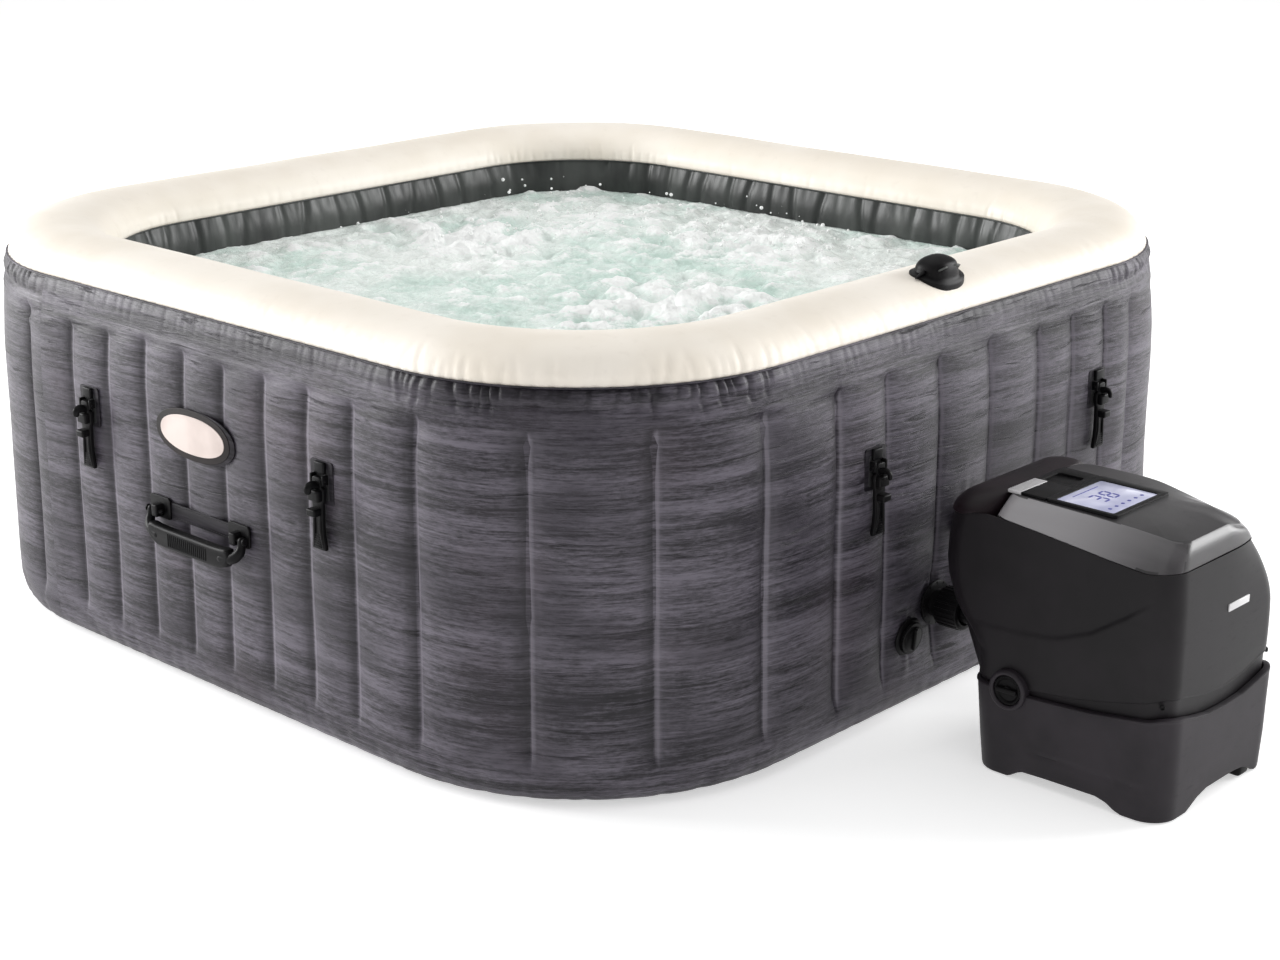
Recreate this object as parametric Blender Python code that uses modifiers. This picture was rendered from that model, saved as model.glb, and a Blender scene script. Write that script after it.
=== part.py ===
"""Square inflatable hot tub with its floor-standing control unit.

Metres, +Z up. The origin is the centre of the tub's underside, on the ground. The control unit stands on
the +X side. The front of the tub, with the badge and the carry handle, faces -Y.
"""

import math

import bpy
import bmesh
from mathutils import Matrix, Vector

# Driving dimensions of the tub
TUB_HALF = 0.875          # half of the outside width
CORNER_CENTRE = 0.45      # the corner arcs turn about points this far from the middle, both ways
BATH_CORNER_CENTRE = 0.404  # the same for the bath's own corners
SKIN = 0.004              # laminated sheet
GAP = 0.0005              # clearance between touching pieces
CROWN_HEIGHT = 0.702      # top of the rim
OUTER_SEAM_HEIGHT = 0.646 # weld between wall and rim, outside
INNER_SEAM_HEIGHT = 0.636 # weld between wall and rim, inside
CORNER_STEPS = 8          # straight pieces in each tub corner

# Fittings through the wall on the unit's side: (across, height)
SUCTION = (-0.075, 0.175)
RETURN = (0.045, 0.175)
AIR = (0.005, 0.300)
DRAIN = (-0.146, 0.135)
INFLATION = (0.150, 0.240)
PORT_TUBE = 0.0235        # outside radius of a water fitting
AIR_TUBE = 0.0185
FITTING_WALL = 0.0045
FLANGE = 0.0145           # how far a fitting's flanges stand out round its tube
OUTER_FACE = 0.8757       # outer flanges start here, just clear of the wall
UNION_END = 0.918         # where a wall fitting meets a nozzle of the unit
BATH_FACE = 0.6550        # inner ends of the wall fittings
SHAFT = 0.0040
SHAFT_BORE = 0.00406

# Cover buckles: distances from the middle of each side, in the order front, unit side, back, left
BUCKLES = ((-0.305, 0.305), (-0.250, 0.380), (-0.305, 0.305), (-0.305, 0.305))
BUCKLE_HINGE_HEIGHT = 0.452
BUCKLE_STAND_OFF = 0.0095
HANDLE_HINGE_HEIGHT = 0.306
HANDLE_HALF = 0.112
HANDLE_STAND_OFF = 0.013

# Control unit
SHELL = 0.003
BASE_TOP = 0.1555         # top edge of the unit's lower half
BODY_TOP = 0.3840         # top edge of its middle
UNIT_TOP = 0.4320         # top of its cover
FOOT_ARCH = 0.018         # height of the arches between the feet
SERVICE_PORT = (1.131, 0.144)
PUMP_FRONT = 1.075
BLOWER_FRONT = 1.100

FACETS = 20               # sides of the turned pieces

for old in list(bpy.data.objects):
    bpy.data.objects.remove(old)
scene = bpy.context.scene
parts = bpy.data.collections.new("inflatable_hot_tub")
cutters = bpy.data.collections.new("cutters")
scene.collection.children.link(parts)
scene.collection.children.link(cutters)


# ---------------------------------------------------------------- materials

def finish(name, colour, roughness, metallic=0.0):
    """A Principled material."""
    material = bpy.data.materials.new(name)
    material.use_nodes = True
    shader = material.node_tree.nodes["Principled BSDF"]
    shader.inputs["Base Color"].default_value = (*colour, 1.0)
    shader.inputs["Roughness"].default_value = roughness
    shader.inputs["Metallic"].default_value = metallic
    material.diffuse_color = (*colour, 1.0)
    return material


wall_print = finish("wall_print", (0.09, 0.085, 0.10), 0.45)
cream_vinyl = finish("cream_vinyl", (0.83, 0.77, 0.67), 0.5)
liner_vinyl = finish("liner_vinyl", (0.06, 0.063, 0.063), 0.4)
fibre_sheet = finish("fibre_sheet", (0.55, 0.55, 0.55), 0.8)
black_plastic = finish("black_plastic", (0.012, 0.012, 0.013), 0.4)
webbing = finish("webbing", (0.015, 0.015, 0.017), 0.8)
badge_plate = finish("badge_plate", (0.66, 0.58, 0.52), 0.5)
unit_plastic = finish("unit_plastic", (0.045, 0.042, 0.047), 0.35)
cover_plastic = finish("cover_plastic", (0.10, 0.10, 0.105), 0.32)
display_glass = finish("display_glass", (0.35, 0.36, 0.62), 0.1)
white_plastic = finish("white_plastic", (0.75, 0.76, 0.76), 0.4)
filter_paper = finish("filter_paper", (0.80, 0.82, 0.82), 0.9)
motor_metal = finish("motor_metal", (0.45, 0.45, 0.46), 0.4, 0.9)
board_green = finish("board_green", (0.03, 0.16, 0.07), 0.5)


# ---------------------------------------------------------------- shapes

def place(name, mesh, material=None, collection=parts):
    """An object of this mesh, with its material on the mesh."""
    obj = bpy.data.objects.new(name, mesh)
    collection.objects.link(obj)
    if material and not mesh.materials:
        mesh.materials.append(material)
    return obj


def arc(centre, radius, start, end, steps):
    """Points along an arc in a plane, with both its ends."""
    angles = [math.radians(start + (end - start) * i / steps) for i in range(steps + 1)]
    return [(centre[0] + radius * math.cos(a), centre[1] + radius * math.sin(a)) for a in angles]


def rounded_rectangle(half_x, half_y, radius, steps, middle=(0.0, 0.0)):
    """Anticlockwise outline with round corners."""
    outline = []
    for quarter, (side_x, side_y) in enumerate(((1, 1), (-1, 1), (-1, -1), (1, -1))):
        centre = (middle[0] + side_x * (half_x - radius), middle[1] + side_y * (half_y - radius))
        outline += arc(centre, radius, 90 * quarter, 90 * (quarter + 1), steps)
    return outline


def tub_outline(half, centre=CORNER_CENTRE):
    """Outline of the tub this far from its middle, with its corners turning about the centre given."""
    return rounded_rectangle(half, half, half - centre, CORNER_STEPS)


def loft(loops, flip=False):
    """An open surface through closed loops of equal length, listed from the top down."""
    shape = bmesh.new()
    rows = [[shape.verts.new(point) for point in loop] for loop in loops]
    for upper, lower in zip(rows, rows[1:]):
        for i in range(len(upper)):
            j = (i + 1) % len(upper)
            corners = (upper[i], lower[i], lower[j], upper[j])
            shape.faces.new(corners[::-1] if flip else corners)
    mesh = bpy.data.meshes.new("loft")
    shape.to_mesh(mesh)
    shape.free()
    return mesh


def thicken(obj, thickness):
    """Gives an open surface its wall, behind the side that its faces point to."""
    wall = obj.modifiers.new("wall", "SOLIDIFY")
    wall.thickness = thickness
    wall.offset = -1.0
    wall.use_even_offset = True
    return obj


def tub_skin(name, sections, material, facing_bath=False):
    """One welded sheet of the tub: sections are (half width, height, corner centre) of its visible side, in
    order down the outside, or down the inside where it faces the bath."""
    loops = [[(x, y, height) for x, y in tub_outline(half, *centre)] for half, height, *centre in sections]
    return thicken(place(name, loft(loops, facing_bath), material), SKIN)


def flat_piece(name, outlines, thickness, material, collection=parts):
    """A plate lying on z = 0, from its outline and any holes in it."""
    curve = bpy.data.curves.new(name, "CURVE")
    curve.dimensions = "2D"
    curve.fill_mode = "BOTH"
    curve.extrude = thickness / 2
    for outline in outlines:
        spline = curve.splines.new("POLY")
        spline.points.add(len(outline) - 1)
        for point, (x, y) in zip(spline.points, outline):
            point.co = (x, y, 0.0, 1.0)
        spline.use_cyclic_u = True
    obj = place(name, curve, None, collection)
    obj.location.z = thickness / 2
    curve.materials.append(material)
    return as_mesh(obj, lift=thickness / 2)


def as_mesh(obj, lift=0.0):
    """The curve made into a plain mesh with its caps welded, in an object of the same name."""
    graph = bpy.context.evaluated_depsgraph_get()
    mesh = bpy.data.meshes.new_from_object(obj.evaluated_get(graph))
    shape = bmesh.new()
    shape.from_mesh(mesh)
    bmesh.ops.remove_doubles(shape, verts=shape.verts, dist=1e-5)
    bmesh.ops.translate(shape, verts=shape.verts, vec=(0.0, 0.0, lift))
    shape.to_mesh(mesh)
    shape.free()
    name = obj.name
    collection = obj.users_collection[0]
    bpy.data.objects.remove(obj)
    made = bpy.data.objects.new(name, mesh)
    collection.objects.link(made)
    return made


def turned(name, profile, material, origin=(0, 0, 0), along=(0, 0, 1), facets=FACETS, collection=parts):
    """A turned piece: a closed outline of (radius, distance along) about the axis through the origin given."""
    turning = sum(a[0] * b[1] - b[0] * a[1] for a, b in zip(profile, profile[1:] + profile[:1]))
    profile = profile[::-1] if turning > 0 else profile
    while 0.0 in (profile[0][0], profile[-1][0]) and (profile[0][0], profile[-1][0]) != (0.0, 0.0):
        profile = profile[1:] + profile[:1]
    mesh = bpy.data.meshes.new(name)
    points = [(radius, 0.0, distance) for radius, distance in profile]
    edges = [(i, (i + 1) % len(points)) for i in range(len(points))]
    if profile[0][0] == 0.0 and profile[-1][0] == 0.0:
        edges.pop()
    mesh.from_pydata(points, edges, [])
    obj = place(name, mesh, material, collection)
    obj.matrix_world = Matrix.Translation(origin) @ Vector(along).to_track_quat("Z", "Y").to_matrix().to_4x4()
    spin = obj.modifiers.new("turn", "SCREW")
    spin.steps = facets
    spin.render_steps = facets
    spin.use_merge_vertices = True
    spin.merge_threshold = 1e-5
    spin.use_smooth_shade = True
    return obj


def tube(name, points, radius, material, sides=2, cyclic=False, collection=parts):
    """A round bar or hose along the points."""
    curve = bpy.data.curves.new(name, "CURVE")
    curve.dimensions = "3D"
    curve.bevel_depth = radius
    curve.bevel_resolution = sides
    curve.use_fill_caps = not cyclic
    spline = curve.splines.new("POLY")
    spline.points.add(len(points) - 1)
    for point, place_of in zip(spline.points, points):
        point.co = (*place_of, 1.0)
    spline.use_cyclic_u = cyclic
    obj = place(name, curve, None, collection)
    curve.materials.append(material)
    return as_mesh(obj)


def smooth_route(stations, steps):
    """Points along a Catmull-Rom curve through the stations."""
    ends = [2 * Vector(stations[0]) - Vector(stations[1]), *map(Vector, stations),
            2 * Vector(stations[-1]) - Vector(stations[-2])]
    route = []
    for a, b, c, d in zip(ends, ends[1:], ends[2:], ends[3:]):
        for i in range(steps):
            t = i / steps
            route.append(0.5 * (2 * b + (c - a) * t + (2 * a - 5 * b + 4 * c - d) * t * t
                                + (3 * b - a - 3 * c + d) * t ** 3))
    return [*route, Vector(stations[-1])]


def block(name, low, high, material, collection=parts, bevel=0.0):
    """A box between two corners, with its edges rounded if asked."""
    shape = bmesh.new()
    bmesh.ops.create_cube(shape, size=1.0)
    size = Vector(high) - Vector(low)
    bmesh.ops.scale(shape, verts=shape.verts, vec=size)
    bmesh.ops.translate(shape, verts=shape.verts, vec=(Vector(high) + Vector(low)) / 2)
    mesh = bpy.data.meshes.new(name)
    shape.to_mesh(mesh)
    shape.free()
    obj = place(name, mesh, material, collection)
    if bevel:
        edge = obj.modifiers.new("edge", "BEVEL")
        edge.width = bevel
        edge.segments = 2
    return obj


def rod(name, start, end, radius, material=None, collection=cutters, facets=FACETS):
    """A cylinder between two points."""
    start, end = Vector(start), Vector(end)
    shape = bmesh.new()
    bmesh.ops.create_cone(shape, cap_ends=True, segments=facets, radius1=radius, radius2=radius,
                          depth=(end - start).length)
    turn = (end - start).to_track_quat("Z", "Y").to_matrix().to_4x4()
    bmesh.ops.transform(shape, matrix=Matrix.Translation((start + end) / 2) @ turn, verts=shape.verts)
    mesh = bpy.data.meshes.new(name)
    shape.to_mesh(mesh)
    shape.free()
    return place(name, mesh, material, collection)


def helper(obj):
    """Keeps a cutter or a joined piece out of the model."""
    obj.hide_render = True
    obj.display_type = "WIRE"
    for collection in list(obj.users_collection):
        collection.objects.unlink(obj)
    cutters.objects.link(obj)
    return obj


def combine(obj, other, operation):
    """A Boolean with another object, which stops being a part."""
    step = obj.modifiers.new(operation.lower(), "BOOLEAN")
    step.operation = operation
    step.object = helper(other)
    return obj


def cut(obj, *others):
    for other in others:
        combine(obj, other, "DIFFERENCE")
    return obj


def join(obj, *others):
    for other in others:
        combine(obj, other, "UNION")
    return obj


def settle(obj):
    """Applies the object's modifiers, so that copies of it can share one plain mesh."""
    bpy.context.view_layer.update()
    graph = bpy.context.evaluated_depsgraph_get()
    mesh = bpy.data.meshes.new_from_object(obj.evaluated_get(graph))
    obj.modifiers.clear()
    obj.data = mesh
    return obj


def shade(obj):
    """Smooth faces with sharp edges kept."""
    obj.data.shade_smooth()
    obj.data.set_sharp_from_angle(angle=math.radians(35))
    return obj


# ---------------------------------------------------------------- tub skins

def wall_holes(label, face_from, face_to, fittings):
    """Cutters for the fittings through one wall on the unit's side."""
    return [rod(f"{label}_hole", (face_from, across, height), (face_to, across, height), radius)
            for (across, height), radius in fittings]


def tub_skins():
    outer = tub_skin("outer_wall", [(0.8510, OUTER_SEAM_HEIGHT - 0.0010), (0.8620, 0.620), (0.8700, 0.570),
                                    (TUB_HALF, 0.480), (TUB_HALF, 0.140), (0.8620, 0.075), (0.8360, 0.026),
                                    (0.7930, 0.0)], wall_print)
    water_hole, air_hole = PORT_TUBE + GAP, AIR_TUBE + GAP
    cut(outer, *wall_holes("outer", 0.80, 0.90, [(SUCTION, water_hole), (RETURN, water_hole), (AIR, air_hole),
                                                 (DRAIN, 0.0260), (INFLATION, 0.0205)]))
    tub_skin("top_rim", [(0.6805, INNER_SEAM_HEIGHT + 0.0010, BATH_CORNER_CENTRE), (0.6860, 0.660, 0.406),
                         (0.7020, 0.683, 0.416), (0.7300, 0.6975, 0.432), (0.7650, CROWN_HEIGHT), (0.8000, 0.6975), (0.8280, 0.685), (0.8460, 0.665),
                         (0.8515, OUTER_SEAM_HEIGHT + 0.0010)], cream_vinyl)
    inner = tub_skin("inner_wall", [(half, height, BATH_CORNER_CENTRE) for half, height in (
        (0.6805, INNER_SEAM_HEIGHT - 0.0010), (0.6720, 0.600), (0.6640, 0.500), (0.6610, 0.300), (0.6630, 0.120),
        (0.6690, 0.0048))], liner_vinyl, True)
    cut(inner, *wall_holes("inner", 0.62, 0.72, [(SUCTION, water_hole), (RETURN, water_hole), (AIR, air_hole)]))
    flat_piece("base_sheet", [tub_outline(0.7850)], SKIN, liner_vinyl)
    floor = flat_piece("inner_floor", [tub_outline(0.6650, BATH_CORNER_CENTRE)], 0.0190, liner_vinyl)
    floor.location.z = SKIN + GAP



def wall_web():
    """The zigzag of fibre sheet that holds the two walls apart. It leaves the unit's fittings free."""
    levels = ((0.110, 0.8600, 0.6700), (0.300, 0.8660, 0.6680), (0.480, 0.8660, 0.6700), (0.590, 0.8580, 0.6790))
    pitch, clear = 0.104, 4
    stops = [(pitch * (i - clear), i % 2 == 0) for i in range(2 * clear + 1)]
    route = [(3, stop) for stop in stops[-2:]]
    for side in (0, 1, 2):
        route += [(side, "corner"), *[(side, stop) for stop in stops]]
    route += [(3, "corner"), *[(3, stop) for stop in stops[:2]]]
    columns = []
    for side, stop in route:
        # The first side is +Y, and its corner joins it to +X. The last side is +X.
        turn = Matrix.Rotation(math.radians(90 * (side + 1 if side < 3 else 0)), 3, "Z")
        for angle, outward in (((-60, True), (-30, False)) if stop == "corner" else ((None, stop[1]),)):
            column = []
            for height, outer, inner in levels:
                reach = outer if outward else inner
                if angle is None:
                    point = Vector((reach, stop[0], height))
                else:
                    spoke = Vector((math.cos(math.radians(angle)), math.sin(math.radians(angle)), 0.0))
                    centre = CORNER_CENTRE if outward else BATH_CORNER_CENTRE
                    radius = reach - centre + (-0.003 if outward else 0.001)
                    point = Vector((centre, -centre, height)) + spoke * radius
                column.append(turn @ point)
            columns.append(column)
    shape = bmesh.new()
    rows = [[shape.verts.new(point) for point in column] for column in columns]
    for left, right in zip(rows, rows[1:]):
        for i in range(len(levels) - 1):
            shape.faces.new((left[i], right[i], right[i + 1], left[i + 1]))
    mesh = bpy.data.meshes.new("wall_web")
    shape.to_mesh(mesh)
    shape.free()
    obj = thicken(place("wall_web", mesh, fibre_sheet), 0.0012)
    obj.modifiers["wall"].offset = 0.0


# ---------------------------------------------------------------- tub trim

def badge():
    plate = flat_piece("badge", [[(0.0965 * math.cos(a), 0.0425 * math.sin(a))
                                  for a in (math.tau * i / 32 for i in range(32))]], 0.0025, badge_plate)
    plate.rotation_euler = (math.radians(90), 0, 0)
    plate.location = (0.0, -TUB_HALF - GAP, 0.452)


def solid_loft(name, loops, material, collection=parts):
    """A closed solid through loops listed from the top down."""
    mesh = loft(loops)
    shape = bmesh.new()
    shape.from_mesh(mesh)
    shape.verts.ensure_lookup_table()
    count = len(loops[0])
    shape.faces.new(shape.verts[:count])
    shape.faces.new(shape.verts[-count:][::-1])
    shape.to_mesh(mesh)
    shape.free()
    return place(name, mesh, material, collection)


def level_loop(x0, x1, y0, y1, height, radius, steps=3):
    """A level rounded rectangle between two corners."""
    middle = ((x0 + x1) / 2, (y0 + y1) / 2)
    return [(x, y, height) for x, y in
            rounded_rectangle((x1 - x0) / 2, (y1 - y0) / 2, radius, steps, middle)]


def rim_cowl():
    """Hooded vent on the rim, hollow towards the bath. Its foot follows the rim."""
    cowl = solid_loft("rim_cowl", [
        level_loop(0.7850, 0.8160, -0.0260, 0.0260, 0.7330, 0.010),
        level_loop(0.7740, 0.8240, -0.0340, 0.0340, 0.7290, 0.012),
        level_loop(0.7670, 0.8330, -0.0400, 0.0400, 0.7090, 0.012),
        level_loop(0.7620, 0.8380, -0.0500, 0.0500, 0.7060, 0.014),
        level_loop(0.7620, 0.8380, -0.0500, 0.0500, 0.6700, 0.014)], black_plastic)
    crown = [(0.7300, 0.6981), (0.7650, CROWN_HEIGHT + 0.0006), (0.8000, 0.6981), (0.8280, 0.6856),
             (0.8460, 0.6656), (0.8560, 0.6400), (0.7300, 0.6400)]
    relief = flat_piece("rim_relief", [crown], 0.14, None, cutters)
    relief.rotation_euler = (math.radians(90), 0, 0)
    relief.location = (0.0, 0.07, 0.0)
    cut(cowl, relief)


def valve(label, across, height, along, body_radius, flange_radius, depth):
    """A valve body through the outer wall, and the cap that closes it."""
    origin = (OUTER_FACE, across, height)
    turned(label + "_body" if label == "drain" else label + "_valve", [
        (flange_radius, 0.0050), (flange_radius, 0.0), (body_radius, 0.0), (body_radius, -depth),
        (body_radius - 0.004, -depth), (body_radius - 0.004, -0.006), (body_radius - 0.004, 0.0050)],
        black_plastic, origin, along)
    grip = body_radius - 0.0050
    turned(label + "_cap", [
        (0.0, 0.0135), (grip, 0.0135), (grip + 0.001, 0.0125), (grip + 0.007, 0.0110), (grip + 0.007, 0.0058),
        (grip, 0.0058), (grip, -0.016), (0.0, -0.016)], black_plastic, origin, along)


def handle(label, turn):
    """A carry handle: a strip with two bored ears, and the bail that hangs in them."""
    reach = TUB_HALF + GAP
    anchor = block(f"handle_anchor_{label}", (-0.122, -reach - 0.0020, 0.290), (0.122, -reach, 0.322),
                   black_plastic)
    axis = -TUB_HALF - HANDLE_STAND_OFF
    bail = tube(f"handle_grip_{label}", [
        (-0.1190, axis, HANDLE_HINGE_HEIGHT + 0.007), (-0.1190, axis, HANDLE_HINGE_HEIGHT - 0.016),
        (-0.0930, axis - 0.002, 0.2590), (-0.0780, axis - 0.002, 0.2520), (0.0780, axis - 0.002, 0.2520),
        (0.0930, axis - 0.002, 0.2590), (0.1190, axis, HANDLE_HINGE_HEIGHT - 0.016),
        (0.1190, axis, HANDLE_HINGE_HEIGHT + 0.007)], 0.0068, black_plastic)
    for side in (-1, 1):
        low, high = sorted((side * 0.0960, side * 0.1110))
        join(anchor, block("ear", (low, axis - 0.0080, 0.2965), (high, -reach - 0.0010, 0.3180), None, cutters))
        join(bail, rod("pin", (side * 0.0930, axis, HANDLE_HINGE_HEIGHT), (side * 0.1190, axis,
                                                                         HANDLE_HINGE_HEIGHT), SHAFT))
    cut(anchor, rod("pin_bore", (-0.13, axis, HANDLE_HINGE_HEIGHT), (0.13, axis, HANDLE_HINGE_HEIGHT), SHAFT_BORE))
    for piece in (anchor, bail):
        settle(piece)
        piece.data.transform(Matrix.Rotation(turn, 4, "Z"))


def buckle_shapes():
    """The wall patch and the clip of one cover buckle, at the middle of the front."""
    reach = TUB_HALF + GAP
    axis = -TUB_HALF - BUCKLE_STAND_OFF
    patch = block("patch", (-0.0170, -reach - 0.0016, 0.4180), (0.0170, -reach, 0.4680), webbing, cutters)
    for side in (-1, 1):
        low, high = sorted((side * 0.0115, side * 0.0160))
        join(patch, block("lug", (low, axis - 0.0045, 0.4440), (high, -reach - 0.0008, 0.4600), None, cutters))
    ends = ((-0.02, axis, BUCKLE_HINGE_HEIGHT), (0.02, axis, BUCKLE_HINGE_HEIGHT))
    cut(patch, rod("bar_bore", *ends, 0.00212, facets=12))
    outline = [(0.0095, 0.0055), (-0.0095, 0.0055), (-0.0105, -0.040), (-0.0150, -0.062), (-0.0095, -0.075),
               (-0.0120, -0.112), (0.0120, -0.112), (0.0095, -0.075), (0.0150, -0.062), (0.0105, -0.040)]
    clip = flat_piece("clip", [outline], 0.0065, black_plastic, cutters)
    clip.data.transform(Matrix.Translation((0, axis + 0.00325, BUCKLE_HINGE_HEIGHT))
                        @ Matrix.Rotation(math.radians(90), 4, "X"))
    join(clip, rod("bar", (-0.0158, axis, BUCKLE_HINGE_HEIGHT), (0.0158, axis, BUCKLE_HINGE_HEIGHT), 0.0020,
                   facets=12))
    return helper(settle(patch)), helper(settle(clip))


def buckles():
    patch, clip = buckle_shapes()
    for side, (label, offsets) in enumerate(zip(("front", "unit", "back", "left"), BUCKLES)):
        for letter, offset in zip("ab", offsets):
            spot = (Matrix.Rotation(math.radians(90 * side), 4, "Z") @ Matrix.Translation((offset, 0, 0)))
            for name, shape in (("buckle_patch", patch), ("buckle_clip", clip)):
                copy = shape.data.copy()
                copy.transform(spot)
                place(f"{name}_{label}_{letter}", copy)


# ---------------------------------------------------------------- fittings and filter

def wall_fitting(name, across, height, radius):
    """A tube through both walls, with a flange on each."""
    bore, flange = radius - FITTING_WALL, radius + FLANGE
    turned(name, [(radius, UNION_END), (radius, OUTER_FACE + 0.004), (flange, OUTER_FACE + 0.004),
                  (flange, OUTER_FACE), (radius, OUTER_FACE), (radius, 0.6605), (flange, 0.6605),
                  (flange, BATH_FACE + GAP), (bore, BATH_FACE + GAP), (bore, UNION_END)],
           black_plastic, (0, across, height), (1, 0, 0))


def union_nut(name, across, height, radius):
    """The nut that draws a nozzle of the unit against a wall fitting."""
    turned(name, [(radius + 0.0085, 0.9405), (radius + 0.0100, 0.9380), (radius + 0.0100, 0.8955),
                  (radius + 0.0085, 0.8930), (radius + 0.0005, 0.8930), (radius + 0.0005, 0.9330),
                  (radius - 0.0020, 0.9330), (radius - 0.0020, 0.9405)],
           black_plastic, (0, across, height), (1, 0, 0))


def fittings():
    for label, spot, radius in (("suction", SUCTION, PORT_TUBE), ("return", RETURN, PORT_TUBE),
                                ("air", AIR, AIR_TUBE)):
        wall_fitting(f"{label}_fitting", *spot, radius)
        union_nut(f"{label}_union", *spot, radius)


def filter_set():
    """The filter on the suction fitting: a cup, the pleated cartridge in it, and a slotted cap."""
    origin = (BATH_FACE, *SUCTION)
    turned("filter_housing", [(0.0530, 0.0), (0.0530, 0.0950), (0.0500, 0.0950), (0.0500, 0.0040),
                              (0.0185, 0.0040), (0.0185, 0.0)], white_plastic, origin, (-1, 0, 0), 24)
    turned("filter_cartridge", [(0.0470, 0.0050), (0.0470, 0.0900), (0.0220, 0.0900), (0.0220, 0.0050)],
           filter_paper, origin, (-1, 0, 0), 24)
    cap = turned("filter_cap", [(0.0570, 0.0600), (0.0570, 0.1000), (0.0550, 0.1020), (0.0, 0.1020), (0.0, 0.0960),
                                (0.0540, 0.0960), (0.0540, 0.0600)], white_plastic, origin, (-1, 0, 0), 24)
    for i in range(5):
        height = 0.016 * (i - 2)
        half = math.sqrt(0.044 ** 2 - height ** 2)
        cut(cap, block("slot", (BATH_FACE - 0.11, SUCTION[0] - half, SUCTION[1] + height - 0.0035),
                       (BATH_FACE - 0.09, SUCTION[0] + half, SUCTION[1] + height + 0.0035), None, cutters))
    turned("return_nozzle", [(0.0240, 0.0), (0.0240, 0.0100), (0.0190, 0.0320), (0.0120, 0.0320), (0.0190, 0.0)],
           white_plastic, (BATH_FACE, *RETURN), (-1, 0, 0))


def bubble_ring():
    """The air line along the foot of the inner wall, with its feed from the air fitting."""
    height, half = 0.0350, 0.6330
    ring = tube("bubble_ring", [(x, y, height) for x, y in tub_outline(half, BATH_CORNER_CENTRE)],
                0.0105, white_plastic, 1, True)
    join(ring, rod("riser", (half, AIR[0], height), (half, AIR[0], AIR[1] + 0.0080), 0.0085, facets=12),
         rod("feed", (half - 0.004, *AIR), (BATH_FACE - GAP / 2, *AIR), 0.0080, facets=12))


# ---------------------------------------------------------------- control unit

def unit_base():
    """The lower half: a tray on four corner feet, with a cradle for the pump and one for the heater."""
    tray = solid_loft("unit_base", [
        level_loop(1.0370, 1.4020, -0.2340, 0.0940, BASE_TOP, 0.040),
        level_loop(1.0370, 1.4050, -0.2360, 0.0960, BASE_TOP - 0.006, 0.042),
        level_loop(1.0520, 1.4030, -0.2340, 0.0940, 0.100, 0.042),
        level_loop(1.0780, 1.4020, -0.2320, 0.0920, 0.012, 0.040),
        level_loop(1.0860, 1.3980, -0.2280, 0.0880, 0.0, 0.038)], unit_plastic)
    room = solid_loft("base_room", [
        level_loop(1.0400, 1.3990, -0.2310, 0.0910, BASE_TOP + 0.01, 0.037),
        level_loop(1.0410, 1.3990, -0.2310, 0.0910, BASE_TOP - 0.01, 0.037),
        level_loop(1.0720, 1.3970, -0.2280, 0.0880, 0.0300, 0.036)], None, cutters)
    middle_x, middle_y = 1.2440, -0.0700
    arches = [
        solid_loft("arch_along", [[(middle_x + x, y, z) for x, y in rounded_rectangle(half, 0.30, 0.001, 1)]
                                  for half, z in ((0.050, FOOT_ARCH), (0.086, 0.0), (0.090, -0.01))], None, cutters),
        solid_loft("arch_across", [[(x + middle_x, middle_y + y, z) for x, y in
                                    rounded_rectangle(0.30, half, 0.001, 1)]
                                   for half, z in ((0.060, FOOT_ARCH), (0.092, 0.0), (0.096, -0.01))], None, cutters)]
    cut(tray, room, *arches, *nozzle_holes(), service_hole())
    join(tray, block("pump_cradle", (1.125, SUCTION[0] - 0.014, 0.024), (1.185, SUCTION[0] + 0.014, 0.1340),
                     None, cutters),
         block("heater_cradle", (1.110, RETURN[0] - 0.010, 0.024), (1.180, RETURN[0] + 0.010, 0.1455), None, cutters))


def nozzle_holes():
    """Cutters for the three nozzles through the unit's rear wall."""
    return [rod("nozzle_hole", (0.98, *spot), (1.09, *spot), radius - 0.0020)
            for spot, radius in ((SUCTION, PORT_TUBE), (RETURN, PORT_TUBE), (AIR, AIR_TUBE))]


def service_hole():
    x, height = SERVICE_PORT
    return rod("service_hole", (x, -0.26, height), (x, -0.20, height), 0.0290)


def unit_shell():
    """The middle: a sleeve, open above and below, stepped in over the base."""
    loops = [level_loop(1.0240, 1.3900, -0.2260, 0.0860, BODY_TOP, 0.040),
             level_loop(1.0290, 1.3940, -0.2290, 0.0890, 0.300, 0.040),
             level_loop(1.0370, 1.3970, -0.2310, 0.0910, 0.190, 0.040),
             level_loop(1.0420, 1.3920, -0.2260, 0.0860, 0.183, 0.036),
             level_loop(1.0430, 1.3920, -0.2260, 0.0860, BASE_TOP + 0.0015, 0.036)]
    shell = thicken(place("unit_shell", loft(loops), unit_plastic), SHELL)
    cut(shell, *nozzle_holes(), service_hole())


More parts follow.
